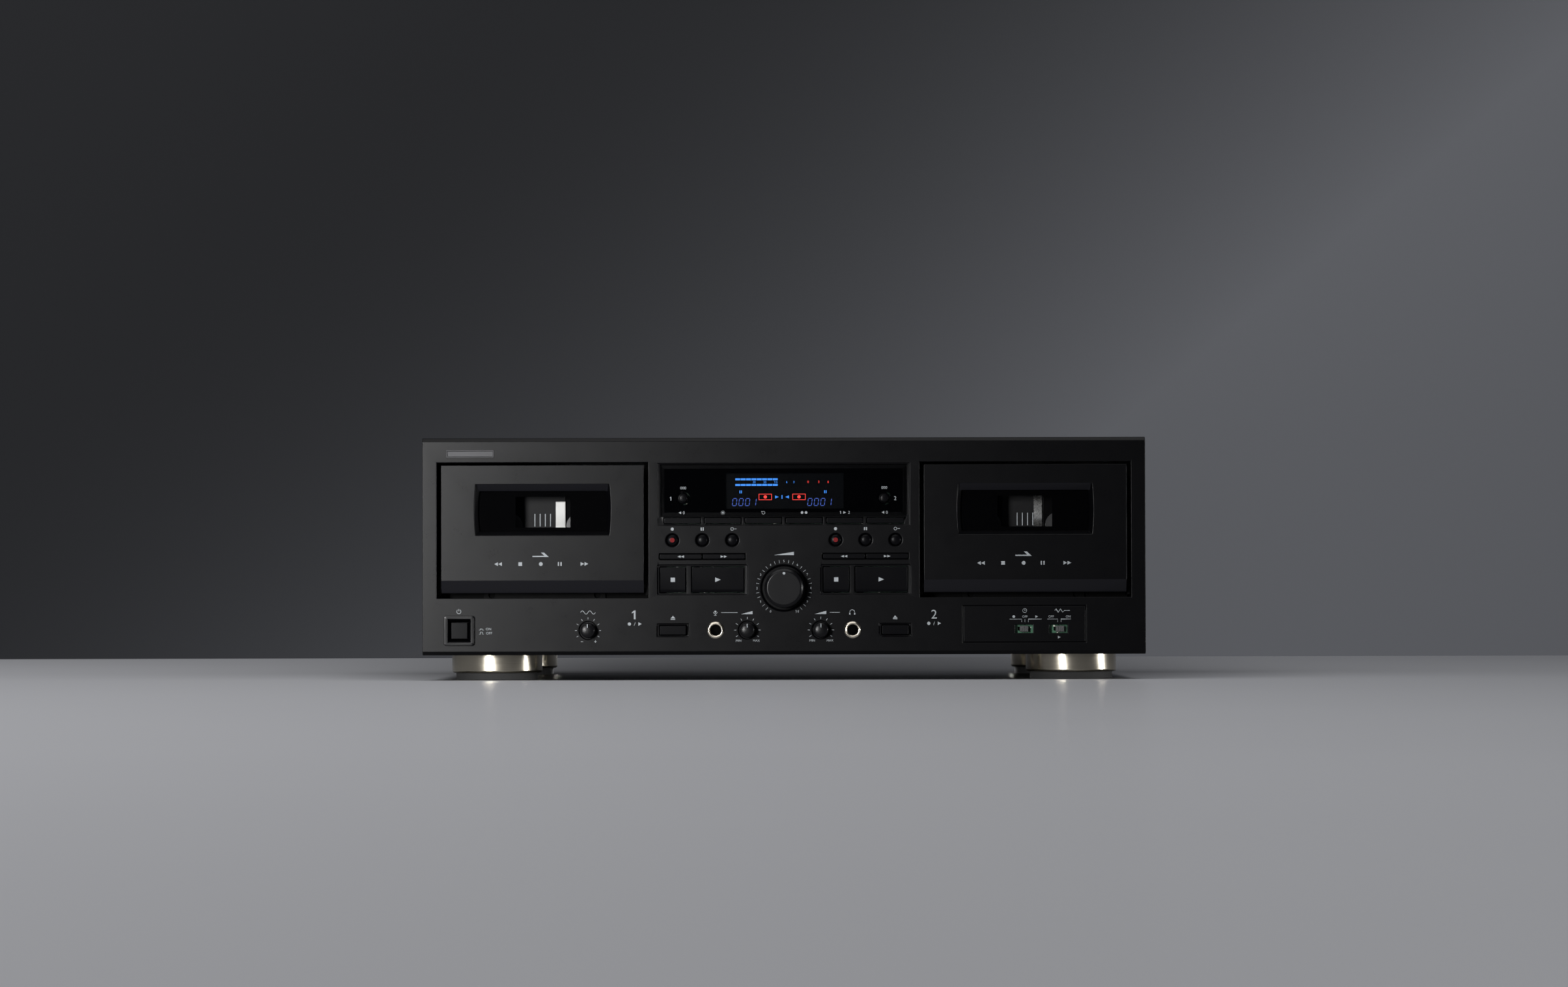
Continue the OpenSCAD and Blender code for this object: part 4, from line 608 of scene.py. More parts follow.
def finish_for(slot):
    """The finish of a slot, made the first time it is asked for."""
    if slot in FINISHES:
        return FINISHES[slot]
    values = look()
    grey = values.case.panel_colour
    # Plastic, paint: colour, roughness, size and depth of the grain. Metal: the stretch before the depth.
    make = {
        "panel_black": lambda: panel(slot, grey, values.case.lifted_colour),
        "bezel_black": lambda: plastic(slot, grey, 0.29, 0.0005, 0.000006, gloss=0.09),
        "case_black": lambda: paint(slot, values.case.case_colour, 0.48, 0.0011, 0.00006),
        "screw_black": lambda: metal(slot, (0.035, 0.035, 0.037), 0.38, (1.0, 1.0, 1.0), 0.00001),
        "foot_gold": lambda: metal(slot, values.foot.ring_colour, 0.2, (0.03, 0.03, 4.0), 0.000006),
        "foot_rubber": lambda: rubber(slot),
        "display_smoke": lambda: smoke(slot, values.window.smoke_colour, values.window.display_alpha),
        "window_smoke": lambda: smoke(slot, values.window.smoke_colour, values.window.door_alpha),
        "board_green": lambda: board(slot),
        "core_steel": lambda: core(slot),
        "socket_metal": lambda: sockets(slot),
        "jack_nickel": lambda: jack(slot),
        "frame_steel": lambda: chassis(slot),
        "key_black": lambda: plastic(slot, values.control.key_colour, 0.29, 0.0005, 0.000006, gloss=0.043),
        "knob_black": lambda: plastic(slot, values.control.knob_colour, 0.3, 0.0004, 0.000006, gloss=0.12),
        "slider_black": lambda: plastic(slot, (0.016, 0.016, 0.017), 0.5, 0.0004, 0.00001),
        "holder_black": lambda: plastic(slot, (0.005, 0.005, 0.0055), 0.55, 0.0006, 0.00002, gloss=0.15),
        "spindle_black": lambda: plastic(slot, (0.016, 0.016, 0.017), 0.4, 0.0005, 0.00001),
        "flywheel_steel": lambda: metal(slot, (0.5, 0.5, 0.49), 0.26, (1.0, 3.0, 1.0), 0.000008),
        "head_steel": lambda: heads(slot),
        "legend_print": lambda: ink(slot, values.prints.print_colour),
        "record_red": lambda: ink(slot, values.prints.red_colour, 0.08),
        "display_glow": lambda: glow(
            slot, values.window.blue_glow, values.window.glow_strength, values.window.counter_glow),
        "display_red": lambda: glow(slot, values.window.red_glow, values.window.glow_strength * 1.25),
        "mask_black": lambda: plastic(slot, (0.0003, 0.0003, 0.00045), 0.6, 0.0006, 0.000006, gloss=0.01),
        "display_tube": lambda: plastic(slot, (0.004, 0.005, 0.006), 0.15, 0.0006, 0.000003),
        "badge_steel": lambda: metal(slot, (0.026, 0.026, 0.027), 0.48, (0.04, 1.0, 3.0), 0.00001),
        "felt_white": lambda: felt(slot),
        "socket_white": lambda: plastic(slot, (0.62, 0.62, 0.60), 0.42, 0.0005, 0.00001),
        "socket_red": lambda: plastic(slot, (0.42, 0.014, 0.016), 0.42, 0.0005, 0.00001),
    }
    FINISHES[slot] = make[slot]().material
    return FINISHES[slot]


# Modelling helpers
def only(piece):
    """Selects one piece and nothing else."""
    bpy.ops.object.select_all(action="DESELECT")
    piece.hide_viewport = False
    piece.select_set(True)
    bpy.context.view_layer.objects.active = piece


def edit(piece, mode="FACE"):
    """Enters edit mode with nothing selected."""
    only(piece)
    bpy.ops.object.mode_set(mode="EDIT")
    bpy.ops.mesh.select_mode(type=mode)
    bpy.ops.mesh.select_all(action="DESELECT")


def pick(piece, test):
    """Selects the faces whose middle and normal pass a test, from edit mode."""
    bpy.ops.object.mode_set(mode="OBJECT")
    for face in piece.data.polygons:
        face.select = bool(test(face.center, face.normal))
    for corner in piece.data.vertices:
        corner.select = False
    for line in piece.data.edges:
        line.select = False
    bpy.ops.object.mode_set(mode="EDIT")


def leave():
    """Leaves edit mode."""
    bpy.ops.object.mode_set(mode="OBJECT")


def modify(piece, kind, **settings):
    """Adds a modifier and applies it."""
    only(piece)
    modifier = piece.modifiers.new(kind.lower(), kind)
    for key, value in settings.items():
        setattr(modifier, key, value)
    bpy.ops.object.modifier_apply(modifier=modifier.name)


def soften(piece, edge, segments=3, creased=None):
    """Rounds the sharp edges and keeps flat faces flat; creased picks lines that stay sharp."""
    if edge > 0:
        edit(piece)
        bpy.ops.mesh.select_all(action="SELECT")
        bpy.ops.mesh.quads_convert_to_tris(quad_method="BEAUTY", ngon_method="BEAUTY")
        leave()
        modify(
            piece, "BEVEL", width=edge, segments=segments, limit_method="ANGLE",
            angle_limit=math.radians(30), use_clamp_overlap=False, loop_slide=False)
    only(piece)
    bpy.ops.object.shade_smooth_by_angle(angle=math.radians(32))
    if creased:
        for line in piece.data.edges:
            ends = [piece.data.vertices[i].co for i in line.vertices]
            line.use_edge_sharp = line.use_edge_sharp or creased(*ends)
    modify(piece, "WEIGHTED_NORMAL", mode="FACE_AREA", weight=50, keep_sharp=True)


def settle(piece):
    """Puts a piece's place into its mesh, so that its object sits at the origin."""
    only(piece)
    bpy.ops.object.transform_apply(location=True, rotation=True, scale=True)


def wear(piece, name, body, slot):
    """Names a finished piece, gives it its finish and lets it ride on a body."""
    piece.name = name
    piece.data.name = name
    piece.data.materials.clear()
    piece.data.materials.append(finish_for(slot))
    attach(piece, body)


def copied(node):
    """A copy of a node's mesh, merged, with its flat faces joined."""
    only(frame["nodes"][node])
    bpy.ops.object.duplicate(linked=False)
    piece = bpy.context.view_layer.objects.active
    for key in list(piece.keys()):
        del piece[key]
    bpy.ops.object.parent_clear(type="CLEAR_KEEP_TRANSFORM")
    edit(piece)
    bpy.ops.mesh.select_all(action="SELECT")
    bpy.ops.mesh.remove_doubles(threshold=0.000002)
    bpy.ops.mesh.dissolve_limited(angle_limit=math.radians(0.6), delimit={"NORMAL"})
    leave()
    return piece


def in_place(piece, node):
    """Finishes a piece that takes a node's place."""
    wear(piece, node + "_dressed", BODY[node], SLOT[node])
    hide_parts(node)


def dressed(node, edge, segments=3, creased=None):
    """Puts a copy with soft edges and a finish in a node's place."""
    piece = copied(node)
    soften(piece, edge, segments, creased)
    in_place(piece, node)


def block(low, high):
    """A box between two corners given as x, d and z in millimetres."""
    bpy.ops.object.select_all(action="DESELECT")
    a, b = place(*low), place(*high)
    bpy.ops.mesh.primitive_cube_add(size=1, location=(a + b) / 2)
    piece = bpy.context.view_layer.objects.active
    piece.scale = b - a
    settle(piece)
    return piece


def lathe(rings, x, z, sides=48):
    """A turned piece whose axis runs to the back, from rings given as radius and d."""
    bpy.ops.object.select_all(action="DESELECT")
    radius, d = rings[0]
    bpy.ops.mesh.primitive_circle_add(
        vertices=sides, radius=radius * MM, fill_type="NOTHING", location=place(x, d, z),
        rotation=(math.radians(90), 0, 0))
    piece = bpy.context.view_layer.objects.active
    settle(piece)
    edit(piece, "VERT")
    bpy.ops.mesh.select_all(action="SELECT")
    centre = place(x, 0, z)
    for (radius, d), (wider, deeper) in zip(rings, rings[1:]):
        bpy.ops.mesh.extrude_edges_move(
            TRANSFORM_OT_translate={"value": (0, (deeper - d) * MM, 0)})
        share = wider / radius
        bpy.ops.transform.resize(
            value=(share, 1, share), center_override=(centre.x, centre.y, centre.z))
    bpy.ops.mesh.select_all(action="SELECT")
    bpy.ops.mesh.remove_doubles(threshold=0.000002)
    bpy.ops.mesh.normals_make_consistent(inside=False)
    leave()
    return piece


def extent(piece):
    """The lowest and the highest corner of a piece's mesh."""
    points = [corner.co for corner in piece.data.vertices]
    low, high = (Vector([end(p[i] for p in points) for i in range(3)]) for end in (min, max))
    return low, high


def inset_front(piece, *steps):
    """Insets the faces that look to the front, once for each step of width and depth."""
    edit(piece)
    pick(piece, lambda centre, normal: normal.y < -0.9)
    for wide, deep in steps:
        bpy.ops.mesh.inset(thickness=wide, depth=deep)
    leave()


def joined(pieces):
    """Joins pieces into the first."""
    if len(pieces) == 1:
        return pieces[0]
    bpy.ops.object.select_all(action="DESELECT")
    for piece in pieces:
        piece.select_set(True)
    bpy.context.view_layer.objects.active = pieces[0]
    bpy.ops.object.join()
    return bpy.context.view_layer.objects.active


# Printed outlines, in millimetres: x to the right and z up
def bar(x, z, wide, high, turn=0.0):
    """A rectangle round a middle, turned clockwise by degrees."""
    corners = ((-wide / 2, -high / 2), (wide / 2, -high / 2), (wide / 2, high / 2), (-wide / 2, high / 2))
    s, c = math.sin(math.radians(turn)), math.cos(math.radians(turn))
    return [[(x + a * c + b * s, z - a * s + b * c) for a, b in corners]]


def pane(left, low, right, high):
    """A rectangle between its four sides."""
    return [[(left, low), (right, low), (right, high), (left, high)]]


def disc(x, z, radius, sides=28):
    """A filled circle."""
    steps = [2 * math.pi * i / sides for i in range(sides)]
    return [[(x + radius * math.cos(t), z + radius * math.sin(t)) for t in steps]]


def ring(x, z, radius, line, sides=32):
    """A circle drawn with a line."""
    return disc(x, z, radius + line / 2, sides) + disc(x, z, radius - line / 2, sides)


def arc(x, z, radius, line, start, end, sides=24):
    """Part of a circle drawn with a line, from one angle to another, clockwise from the top."""
    steps = [math.radians(start + (end - start) * i / sides) for i in range(sides + 1)]
    rims = (radius + line / 2, radius - line / 2)
    outer, inner = ([(x + rim * math.sin(t), z + rim * math.cos(t)) for t in steps] for rim in rims)
    return [outer + inner[::-1]]


def arrow(x, z, wide, high, way=1):
    """A triangle that points right, or left where way is -1."""
    reach = way * wide / 2
    return [[(x - reach, z - high / 2), (x + reach, z), (x - reach, z + high / 2)]]


def double_arrow(x, z, step, wide, high, way=1):
    """Two arrows in a row, the first of them round x."""
    return arrow(x, z, wide, high, way) + arrow(x + step, z, wide, high, way)


def pause_mark(x, z, step, wide, high):
    """Two uprights, a step to each side of x."""
    return bar(x - step, z, wide, high) + bar(x + step, z, wide, high)


def half_arrow(x, z, long, high, line):
    """A line that ends in the upper half of an arrowhead, with its tip at x."""
    lean = 1.09
    thick = line * 2.6
    return [[(x - long, z), (x, z), (x - high * lean, z + high), (x - high * lean - thick, z + high),
             (x - line * lean - thick, z + line), (x - long, z + line)]]


def peak(x, z, wide, high):
    """A triangle that points up."""
    return [[(x - wide / 2, z - high / 2), (x + wide / 2, z - high / 2), (x, z + high / 2)]]


def wedge(x, z, wide, high):
    """A level mark: a slope that rises to the right."""
    return [[(x - wide / 2, z - high / 2), (x + wide / 2, z - high / 2), (x + wide / 2, z + high / 2)]]


def stroke(points, line):
    """An open line through points, as one outline."""
    sides = []
    count = len(points)
    for i, (x, z) in enumerate(points):
        x0, z0 = points[max(i - 1, 0)]
        x1, z1 = points[min(i + 1, count - 1)]
        along = Vector((x1 - x0, z1 - z0)).normalized()
        out = Vector((-along.y, along.x))
        if 0 < i < count - 1:
            before = Vector((x - x0, z - z0)).normalized()
            out = out / max(0.4, out.dot(Vector((-before.y, before.x))))
        sides.append((Vector((x, z)), out * line / 2))
    left = [tuple(p + o) for p, o in sides]
    right = [tuple(p - o) for p, o in sides]
    return [left + right[::-1]]


def polar(x, z, radius, angle):
    """A point at an angle clockwise from the top."""
    return x + radius * math.sin(math.radians(angle)), z + radius * math.cos(math.radians(angle))


def ticks(x, z, near, far, angles, line):
    """Scale lines round a knob."""
    loops = []
    for angle in angles:
        a, b = polar(x, z, (near + far) / 2, angle)
        loops += bar(a, b, line, far - near, angle)
    return loops


def sun(x, z, size):
    """A light mark: a disc with rays."""
    return disc(x, z, size * 0.42) + ticks(x, z, size * 0.65, size, range(0, 360, 45), size * 0.2)


def loop_mark(x, z, size):
    """A repeat mark: an open circle that ends in an arrow."""
    tip = polar(x, z, size, 300)
    head = arrow(tip[0] - size * 0.05, tip[1] + size * 0.25, size, size)
    return arc(x, z, size, size * 0.28, -20, 270) + head


def power_mark(x, z, size):
    """A power mark: an open circle with a bar."""
    return arc(x, z, size, size * 0.26, 35, 325) + bar(x, z + size * 0.7, size * 0.26, size * 1.05)


def microphone_mark(x, z, size):
    """A microphone: a capsule in a cradle on a stem."""
    capsule = disc(x, z + size * 0.35, size * 0.42)
    cradle = arc(x, z + size * 0.25, size * 0.78, size * 0.2, 95, 265)
    stem = bar(x, z - size * 0.85, size * 0.2, size * 0.4)
    return capsule + cradle + stem + bar(x, z - size * 1.15, size, size * 0.18)


def headphone_mark(x, z, size):
    """Headphones: a band and two ear pads."""
    band = arc(x, z - size * 0.1, size, size * 0.22, -80, 80)
    pads = [bar(x + side * size, z - size * 0.65, size * 0.5, size * 0.8) for side in (-1, 1)]
    return band + pads[0] + pads[1]


def clock_mark(x, z, size):
    """A clock: a rim and two hands."""
    hands = [(x, z + size * 0.62), (x, z), (x + size * 0.45, z)]
    return ring(x, z, size, size * 0.2) + stroke(hands, size * 0.2)


def wave_mark(x, z, wide, high, line, turns=2):
    """A wave line."""
    count = 12 * turns
    points = [(x - wide / 2 + wide * i / count, z + high / 2 * math.sin(2 * math.pi * turns * i / count))
              for i in range(count + 1)]
    return stroke(points, line)


def zigzag_mark(x, z, wide, high, line, teeth=4):
    """A jagged line that settles to a flat one."""
    points = [(x - wide / 2, z)]
    for i in range(teeth):
        side = 1 if i % 2 == 0 else -1
        points.append((x - wide / 2 + wide * 0.6 * (i + 0.5) / teeth, z + side * high / 2))
    points += [(x + wide * 0.14, z), (x + wide / 2, z)]
    return stroke(points, line)


def one(x, z, high):
    """The figure one: an upright with a flag."""
    stem = high * 0.1
    flag = x - stem * 3.2
    foot, top = z - high / 2, z + high / 2
    return [[(x - stem, foot), (x + stem, foot), (x + stem, top), (x - stem * 0.6, top),
             (flag, top - high * 0.2), (flag, top - high * 0.36), (x - stem, top - high * 0.22)]]


def digit(text, x, z, high, lean=0.12):
    """A nought or a one made of lit bars, leaning to the right."""
    wide = high * 0.55
    line = high * 0.105
    gap = line * 0.35
    bars = {
        "a": (0, 1, 1, 1), "b": (1, 0.5, 1, 1), "c": (1, 0, 1, 0.5), "d": (0, 0, 1, 0),
        "e": (0, 0, 0, 0.5), "f": (0, 0.5, 0, 1)}
    lit = {"0": "abcdef", "1": "bc"}[text]
    loops = []
    for key in lit:
        x0, z0, x1, z1 = bars[key]
        a = Vector((x0 * wide, z0 * high))
        b = Vector((x1 * wide, z1 * high))
        along = (b - a).normalized()
        out = Vector((-along.y, along.x)) * line / 2
        a = a + along * (gap + line / 2)
        b = b - along * (gap + line / 2)
        tip = along * line / 2
        corners = [a - tip, a + out, b + out, b + tip, b - out, a - out]
        loops.append([(x + p.x + lean * p.y, z + p.y) for p in corners])
    return loops


class Sheet:
    """Marks of one colour on one flat face: outlines and words."""

    def __init__(self):
        self.loops = []
        self.words = []

    def draw(self, loops):
        """Adds outlines."""
        self.loops += loops
        return self

    def write(self, text, x, z, high):
        """Adds a word round a middle."""
        self.words.append((text, x, z, high))
        return self

    def outlines(self, name, thick):
        """All the outlines as one flat mesh, filled where they don't overlap."""
        outline = bpy.data.curves.new(name, "CURVE")
        outline.dimensions = "2D"
        outline.fill_mode = "BOTH"
        outline.extrude = thick / 2
        for points in self.loops:
            line = outline.splines.new("POLY")
            line.points.add(len(points) - 1)
            for point, (x, z) in zip(line.points, points):
                point.co = (x, z, 0, 1)
            line.use_cyclic_u = True
        piece = bpy.data.objects.new(name, outline)
        bpy.context.scene.collection.objects.link(piece)
        only(piece)
        bpy.ops.object.convert(target="MESH")
        return bpy.context.view_layer.objects.active

    def word(self, text, x, z, high, thick):
        """A word as a flat mesh of that height."""
        bpy.ops.object.select_all(action="DESELECT")
        bpy.ops.object.text_add(location=(0, 0, 0))
        piece = bpy.context.view_layer.objects.active
        piece.data.body = text
        piece.data.resolution_u = 3
        piece.data.extrude = thick / 2
        only(piece)
        bpy.ops.object.convert(target="MESH")
        piece = bpy.context.view_layer.objects.active
        low, top = extent(piece)
        share = high / (top.y - low.y)
        piece.scale = (share, share, 1)
        centre = (low + top) / 2 * share
        piece.location = (x - centre.x, z - centre.y, 0)
        settle(piece)
        return piece

    def lay(self, name, d, body, slot):
        """Makes the marks one thin mesh on the face at depth d, riding on a body."""
        thick = look().prints.print_height / MM
        made = [self.outlines(name, thick)] if self.loops else []
        made += [self.word(*word, thick) for word in self.words]
        piece = joined(made)
        piece.rotation_euler = (math.radians(90), 0, 0)
        piece.scale = (MM, MM, MM)
        piece.location = place(0, d - thick / 2, 0)
        settle(piece)
        wear(piece, name, body, slot)


# Pieces
class DECK_OT_case(bpy.types.Operator):
    """Front panel, cover, base, rear panel, screws and the blank badge"""
    bl_idname = "deck.case"
    bl_label = "Case"

    def execute(self, context):
        values = look().case
        dressed("front_panel", values.panel_edge)
        for node in ("top_cover", "base_pan", "rear_panel"):
            dressed(node, values.sheet_edge)
        self.screws()
        self.badge(values)
        return {"FINISHED"}

    def screws(self):
        """Screws with cross recesses."""
        piece = copied("case_screws")
        edit(piece)
        bpy.ops.mesh.select_all(action="SELECT")
        bpy.ops.mesh.separate(type="LOOSE")
        leave()
        screws = list(bpy.context.selected_objects)
        for screw in screws:
            self.recess(screw)
        piece = joined(screws)
        soften(piece, edge=0.0)
        in_place(piece, "case_screws")

    def recess(self, screw):
        """Cuts a cross into the end of a screw that looks out of the case."""
        side_screws, deep, long_share, thin_share = 0.205, 0.0011, 0.56, 0.13
        low, top = extent(screw)
        centre = (low + top) / 2
        if abs(centre.x) > side_screws:
            axis, end = 0, top if centre.x > 0 else low
        elif top.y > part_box("rear_panel")[1].y:
            axis, end = 1, top
        else:
            axis, end = 2, low
        tip = centre.copy()
        tip[axis] = end[axis]
        across = [i for i in range(3) if i != axis]
        wide = min(top[i] - low[i] for i in across)
        for along, beside in (across, across[::-1]):
            size = [0, 0, 0]
            size[axis] = deep
            size[along] = wide * long_share
            size[beside] = wide * thin_share
            bpy.ops.object.select_all(action="DESELECT")
            bpy.ops.mesh.primitive_cube_add(size=1, location=tip)
            blade = bpy.context.view_layer.objects.active
            blade.scale = size
            settle(blade)
            modify(screw, "BOOLEAN", object=blade, operation="DIFFERENCE", solver="EXACT")
            bpy.data.objects.remove(blade)

    def badge(self, values):
        """A blank brushed plate with a raised middle."""
        x, z = -188.7, 136.3
        thick, edge = 0.55, 0.00012
        rim, slope, rise = 0.0005, 0.0003, 0.00018
        wide, high = values.badge_width / MM / 2, values.badge_height / MM / 2
        piece = block((x - wide, -thick, z - high), (x + wide, 0.0, z + high))
        inset_front(piece, (rim, 0), (slope, -rise))
        soften(piece, edge)
        wear(piece, "badge_plate", "chassis", "badge_steel")


class DECK_OT_feet(bpy.types.Operator):
    """Four feet: turned rings on rubber pads"""
    bl_idname = "deck.feet"
    bl_label = "Feet"

    def execute(self, context):
        dressed("foot_rings", look().foot.ring_edge)
        dressed("foot_pads", edge=0.0004)
        return {"FINISHED"}


class DECK_OT_doors(bpy.types.Operator):
    """Two cassette doors: panels, smoked windows with a black mask, and holders"""
    bl_idname = "deck.doors"
    bl_label = "Doors"

    def execute(self, context):
        values = look().window
        edge, window_edge = 0.0003, 0.00025
        for deck in DECKS:
            dressed(f"door_panel_{deck}", edge, creased=self.band)
            dressed(f"door_window_{deck}", window_edge)
            dressed(f"cassette_holder_{deck}", edge)
            self.mask(deck, values)
        return {"FINISHED"}

    def band(self, first, second):
        """Tells the line where a door's lower band turns back."""
        near = 0.0003
        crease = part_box("door_panel_1")[0].z + BAND_HIGH
        return abs(first.z - crease) < near and abs(second.z - crease) < near

    def mask(self, deck, values):
        """The black print behind a window, with its clear part open."""
        rim = 0.4
        low, high = span(f"door_window_{deck}")
        x, _ = middle(f"door_window_{deck}")
        wide, sill = values.clear_width / MM / 2, values.clear_sill / MM
        top = sill + values.clear_height / MM
        sheet = Sheet()
        sheet.draw(pane(low.x + rim, low.z + rim, high.x - rim, high.z - rim))
        sheet.draw(pane(x - wide, sill, x + wide, top))
        sheet.lay(f"window_mask_{deck}", high.y + MASK_GAP, f"door_{deck}", "mask_black")


class DECK_OT_display(bpy.types.Operator):
    """Display window, the black mask behind it and the lit segments"""
    bl_idname = "deck.display"
    bl_label = "Display"

    def execute(self, context):
        dressed("display_window", edge=0.0002)
        rim, hole = 0.5, 4.2
        low, high = span("display_window")
        mask = Sheet()
        mask.draw(pane(low.x + rim, low.z + rim, high.x - rim, high.z - rim))
        mask.draw(pane(-36, 103, 36, 124.5))
        for deck in DECKS:
            mask.draw(disc(*middle(f"reset_button_{deck}"), hole))
        mask.lay("display_mask", high.y + MASK_GAP, "chassis", "mask_black")
        self.segments()
        return {"FINISHED"}

    def segments(self):
        """Level rows, their scale, the lit marks below them and the counters."""
        blue = Sheet()
        red = Sheet()
        left, pitch, cell = -29.2, 3.23, 2.94
        for row in (120.8, 117.4):
            for i in range(8):
                blue.draw(bar(left + pitch * i + cell / 2, row, cell, 1.2))
        row, figure = 119.1, 1.25
        for text, x in (("30", -17.8), ("20", -11.4), ("0", -4.2), ("6", 1.8), ("3", 6.1)):
            blue.write(text, x, row, figure)
        blue.draw(one(-5.35, row, figure))
        for text, x in (("0", 14.7), ("3", 21.1), ("6", 26.8)):
            red.write(text, x, 119.2, 1.35)
        for x in (-26.0, 25.1):
            blue.draw(pause_mark(x, 113.2, 0.45, 0.5, 1.7))
        for start in (-31.1, 14.3):
            for i, text in enumerate("0001"):
                blue.draw(digit(text, start + 3.9 * i, 104.9, 4.3))
        row = 110.15
        for x in (-11.15, 9.2):
            red.draw(bar(x, row, 7.9, 3.7) + bar(x, row, 7.3, 3.1) + disc(x, row, 1.0))
        row = 110.1
        blue.draw(arrow(-4.1, row, 2.2, 1.8) + arrow(2.0, row, 2.2, 1.8, -1))
        blue.draw(bar(-1.05, row, 0.6, 2.2))
        blue.lay("display_blue", LIT_FACE, "chassis", "display_glow")
        red.lay("display_red", LIT_FACE, "chassis", "display_red")


class DECK_OT_keys(bpy.types.Operator):
    """Keys and buttons with their soft edges"""
    bl_idname = "deck.keys"
    bl_label = "Keys"

    def execute(self, context):
        edge = look().control.key_edge
        slim = ["dimmer_key", "repeat_key", "parallel_key", "dub_start_key"]
        pairs = ("rewind_key", "forward_key", "stop_key", "play_key", "eject_key")
        rounds = ("record_button", "pause_button", "mute_button", "reset_button")
        slim += [f"zero_return_key_{deck}" for deck in DECKS]
        for node in slim:
            dressed(node, edge * 0.5)
        for node in [f"{kind}_{deck}" for kind in pairs for deck in DECKS]:
            dressed(node, edge)
        for node in [f"{kind}_{deck}" for kind in rounds for deck in DECKS]:
            dressed(node, edge * 0.6)
        dressed("power_button", edge)
        return {"FINISHED"}


class DECK_OT_knobs(bpy.types.Operator):
    """Record level knob and the three small knobs"""
    bl_idname = "deck.knobs"
    bl_label = "Knobs"

    def execute(self, context):
        edge = look().control.knob_edge
        dressed("record_level_knob", edge)
        for node in SMALL_KNOBS:
            dressed(node, edge * 0.3)
        return {"FINISHED"}


class DECK_OT_switches(bpy.types.Operator):
    """Power switch bezel and the two slide switches with ribs"""
    bl_idname = "deck.switches"
    bl_label = "Switches"

    def execute(self, context):
        dressed("power_switch", edge=0.0003)
        for node in ("timer_slider", "noise_slider"):
            dressed(node, edge=0.0002)
            self.ribs(node)
        return {"FINISHED"}

    def ribs(self, node):
        """Three ribs on a slider."""
        pitch, half, tall, rise, sunk = 1.3, 0.28, 1.3, 0.3, 0.05
        x, z = middle(node)
        front = span(node)[0].y
        made = []
        for step in (-pitch, 0.0, pitch):
            low = (x + step - half, front - rise, z - tall)
            high = (x + step + half, front + sunk, z + tall)
            piece = block(low, high)
            inset_front(piece, (0.00008, 0.00004))
            made.append(piece)
        piece = joined(made)
        soften(piece, edge=0.00006)
        wear(piece, node + "_ribs", node, "slider_black")


class DECK_OT_jacks(bpy.types.Operator):
    """Microphone and phones jacks"""
    bl_idname = "deck.jacks"
    bl_label = "Jacks"

    def execute(self, context):
        dressed("front_jacks", edge=0.0002)
        return {"FINISHED"}


class DECK_OT_transports(bpy.types.Operator):
    """Transport frames, spindles, flywheels and head carriages, and what shows behind the reels"""
    bl_idname = "deck.transports"
    bl_label = "Transports"

    edge = 0.00015
    wall = 25.3

    def execute(self, context):
        dressed("transport_frames", self.edge)
        for deck in DECKS:
            for kind in ("supply_spindle", "takeup_spindle", "capstan_flywheel", "head_carriage"):
                dressed(f"{kind}_{deck}", self.edge)
            x, _ = middle(f"door_panel_{deck}")
            self.plate(deck, x)
            if deck == 1:
                self.pad(x)
            else:
                self.leaf(x)
        return {"FINISHED"}

    def plate(self, deck, x):
        """The black plate behind the reels, with a folded ledge."""
        half, back, foot, top = 12.6, 26.0, 88.0, 114.0
        fold, ledge, near = 0.0007, 0.0022, 0.00001
        piece = block((x - half, self.wall, foot), (x + half, back, top))
        edit(piece)
        pick(piece, lambda centre, normal: normal.z > 0.9)
        bpy.ops.mesh.extrude_region_move(TRANSFORM_OT_translate={"value": (0, 0, fold)})
        pick(piece, lambda centre, normal: normal.y < -0.9 and centre.z > top * MM + near)
        bpy.ops.mesh.extrude_region_move(TRANSFORM_OT_translate={"value": (0, -ledge, 0)})
        leave()
        soften(piece, self.edge)
        wear(piece, f"back_plate_{deck}", "chassis", "holder_black")

    def pad(self, x):
        """The felt pad on the plate of deck 1."""
        piece = block((x + 6.8, 23.9, 90.0), (x + 12.8, self.wall, 108.0))
        inset_front(piece, (0.0006, 0.0004))
        soften(piece, edge=0.0003)
        wear(piece, "felt_pad", "chassis", "felt_white")

    def leaf(self, x):
        """The leaf spring on the plate of deck 2, bowed to the front."""
        foot, high, bow = 90.0, 22.0, 0.0016
        piece = block((x + 6.4, 25.0, foot), (x + 11.4, self.wall, foot + high))
        edit(piece)
        bpy.ops.mesh.select_all(action="SELECT")
        bpy.ops.mesh.subdivide(number_cuts=7)
        leave()
        for corner in piece.data.vertices:
            share = (corner.co.z / MM - foot) / high
            corner.co.y -= bow * math.sin(math.pi * share)
        soften(piece, edge=0.0)
        wear(piece, "leaf_spring", "chassis", "flywheel_steel")


class DECK_OT_boards(bpy.types.Operator):
    """Front board, main board, transformer and the front of the display tube"""
    bl_idname = "deck.boards"
    bl_label = "Boards"

    def execute(self, context):
        for node in ("front_board", "main_board", "power_transformer"):
            dressed(node, edge=0.0001, segments=1)
        tube = Sheet()
        tube.draw(bar(0, 113.95, 79.0, 23.0))
        tube.lay("display_tube_front", TUBE_FACE, "chassis", "display_tube")
        return {"FINISHED"}


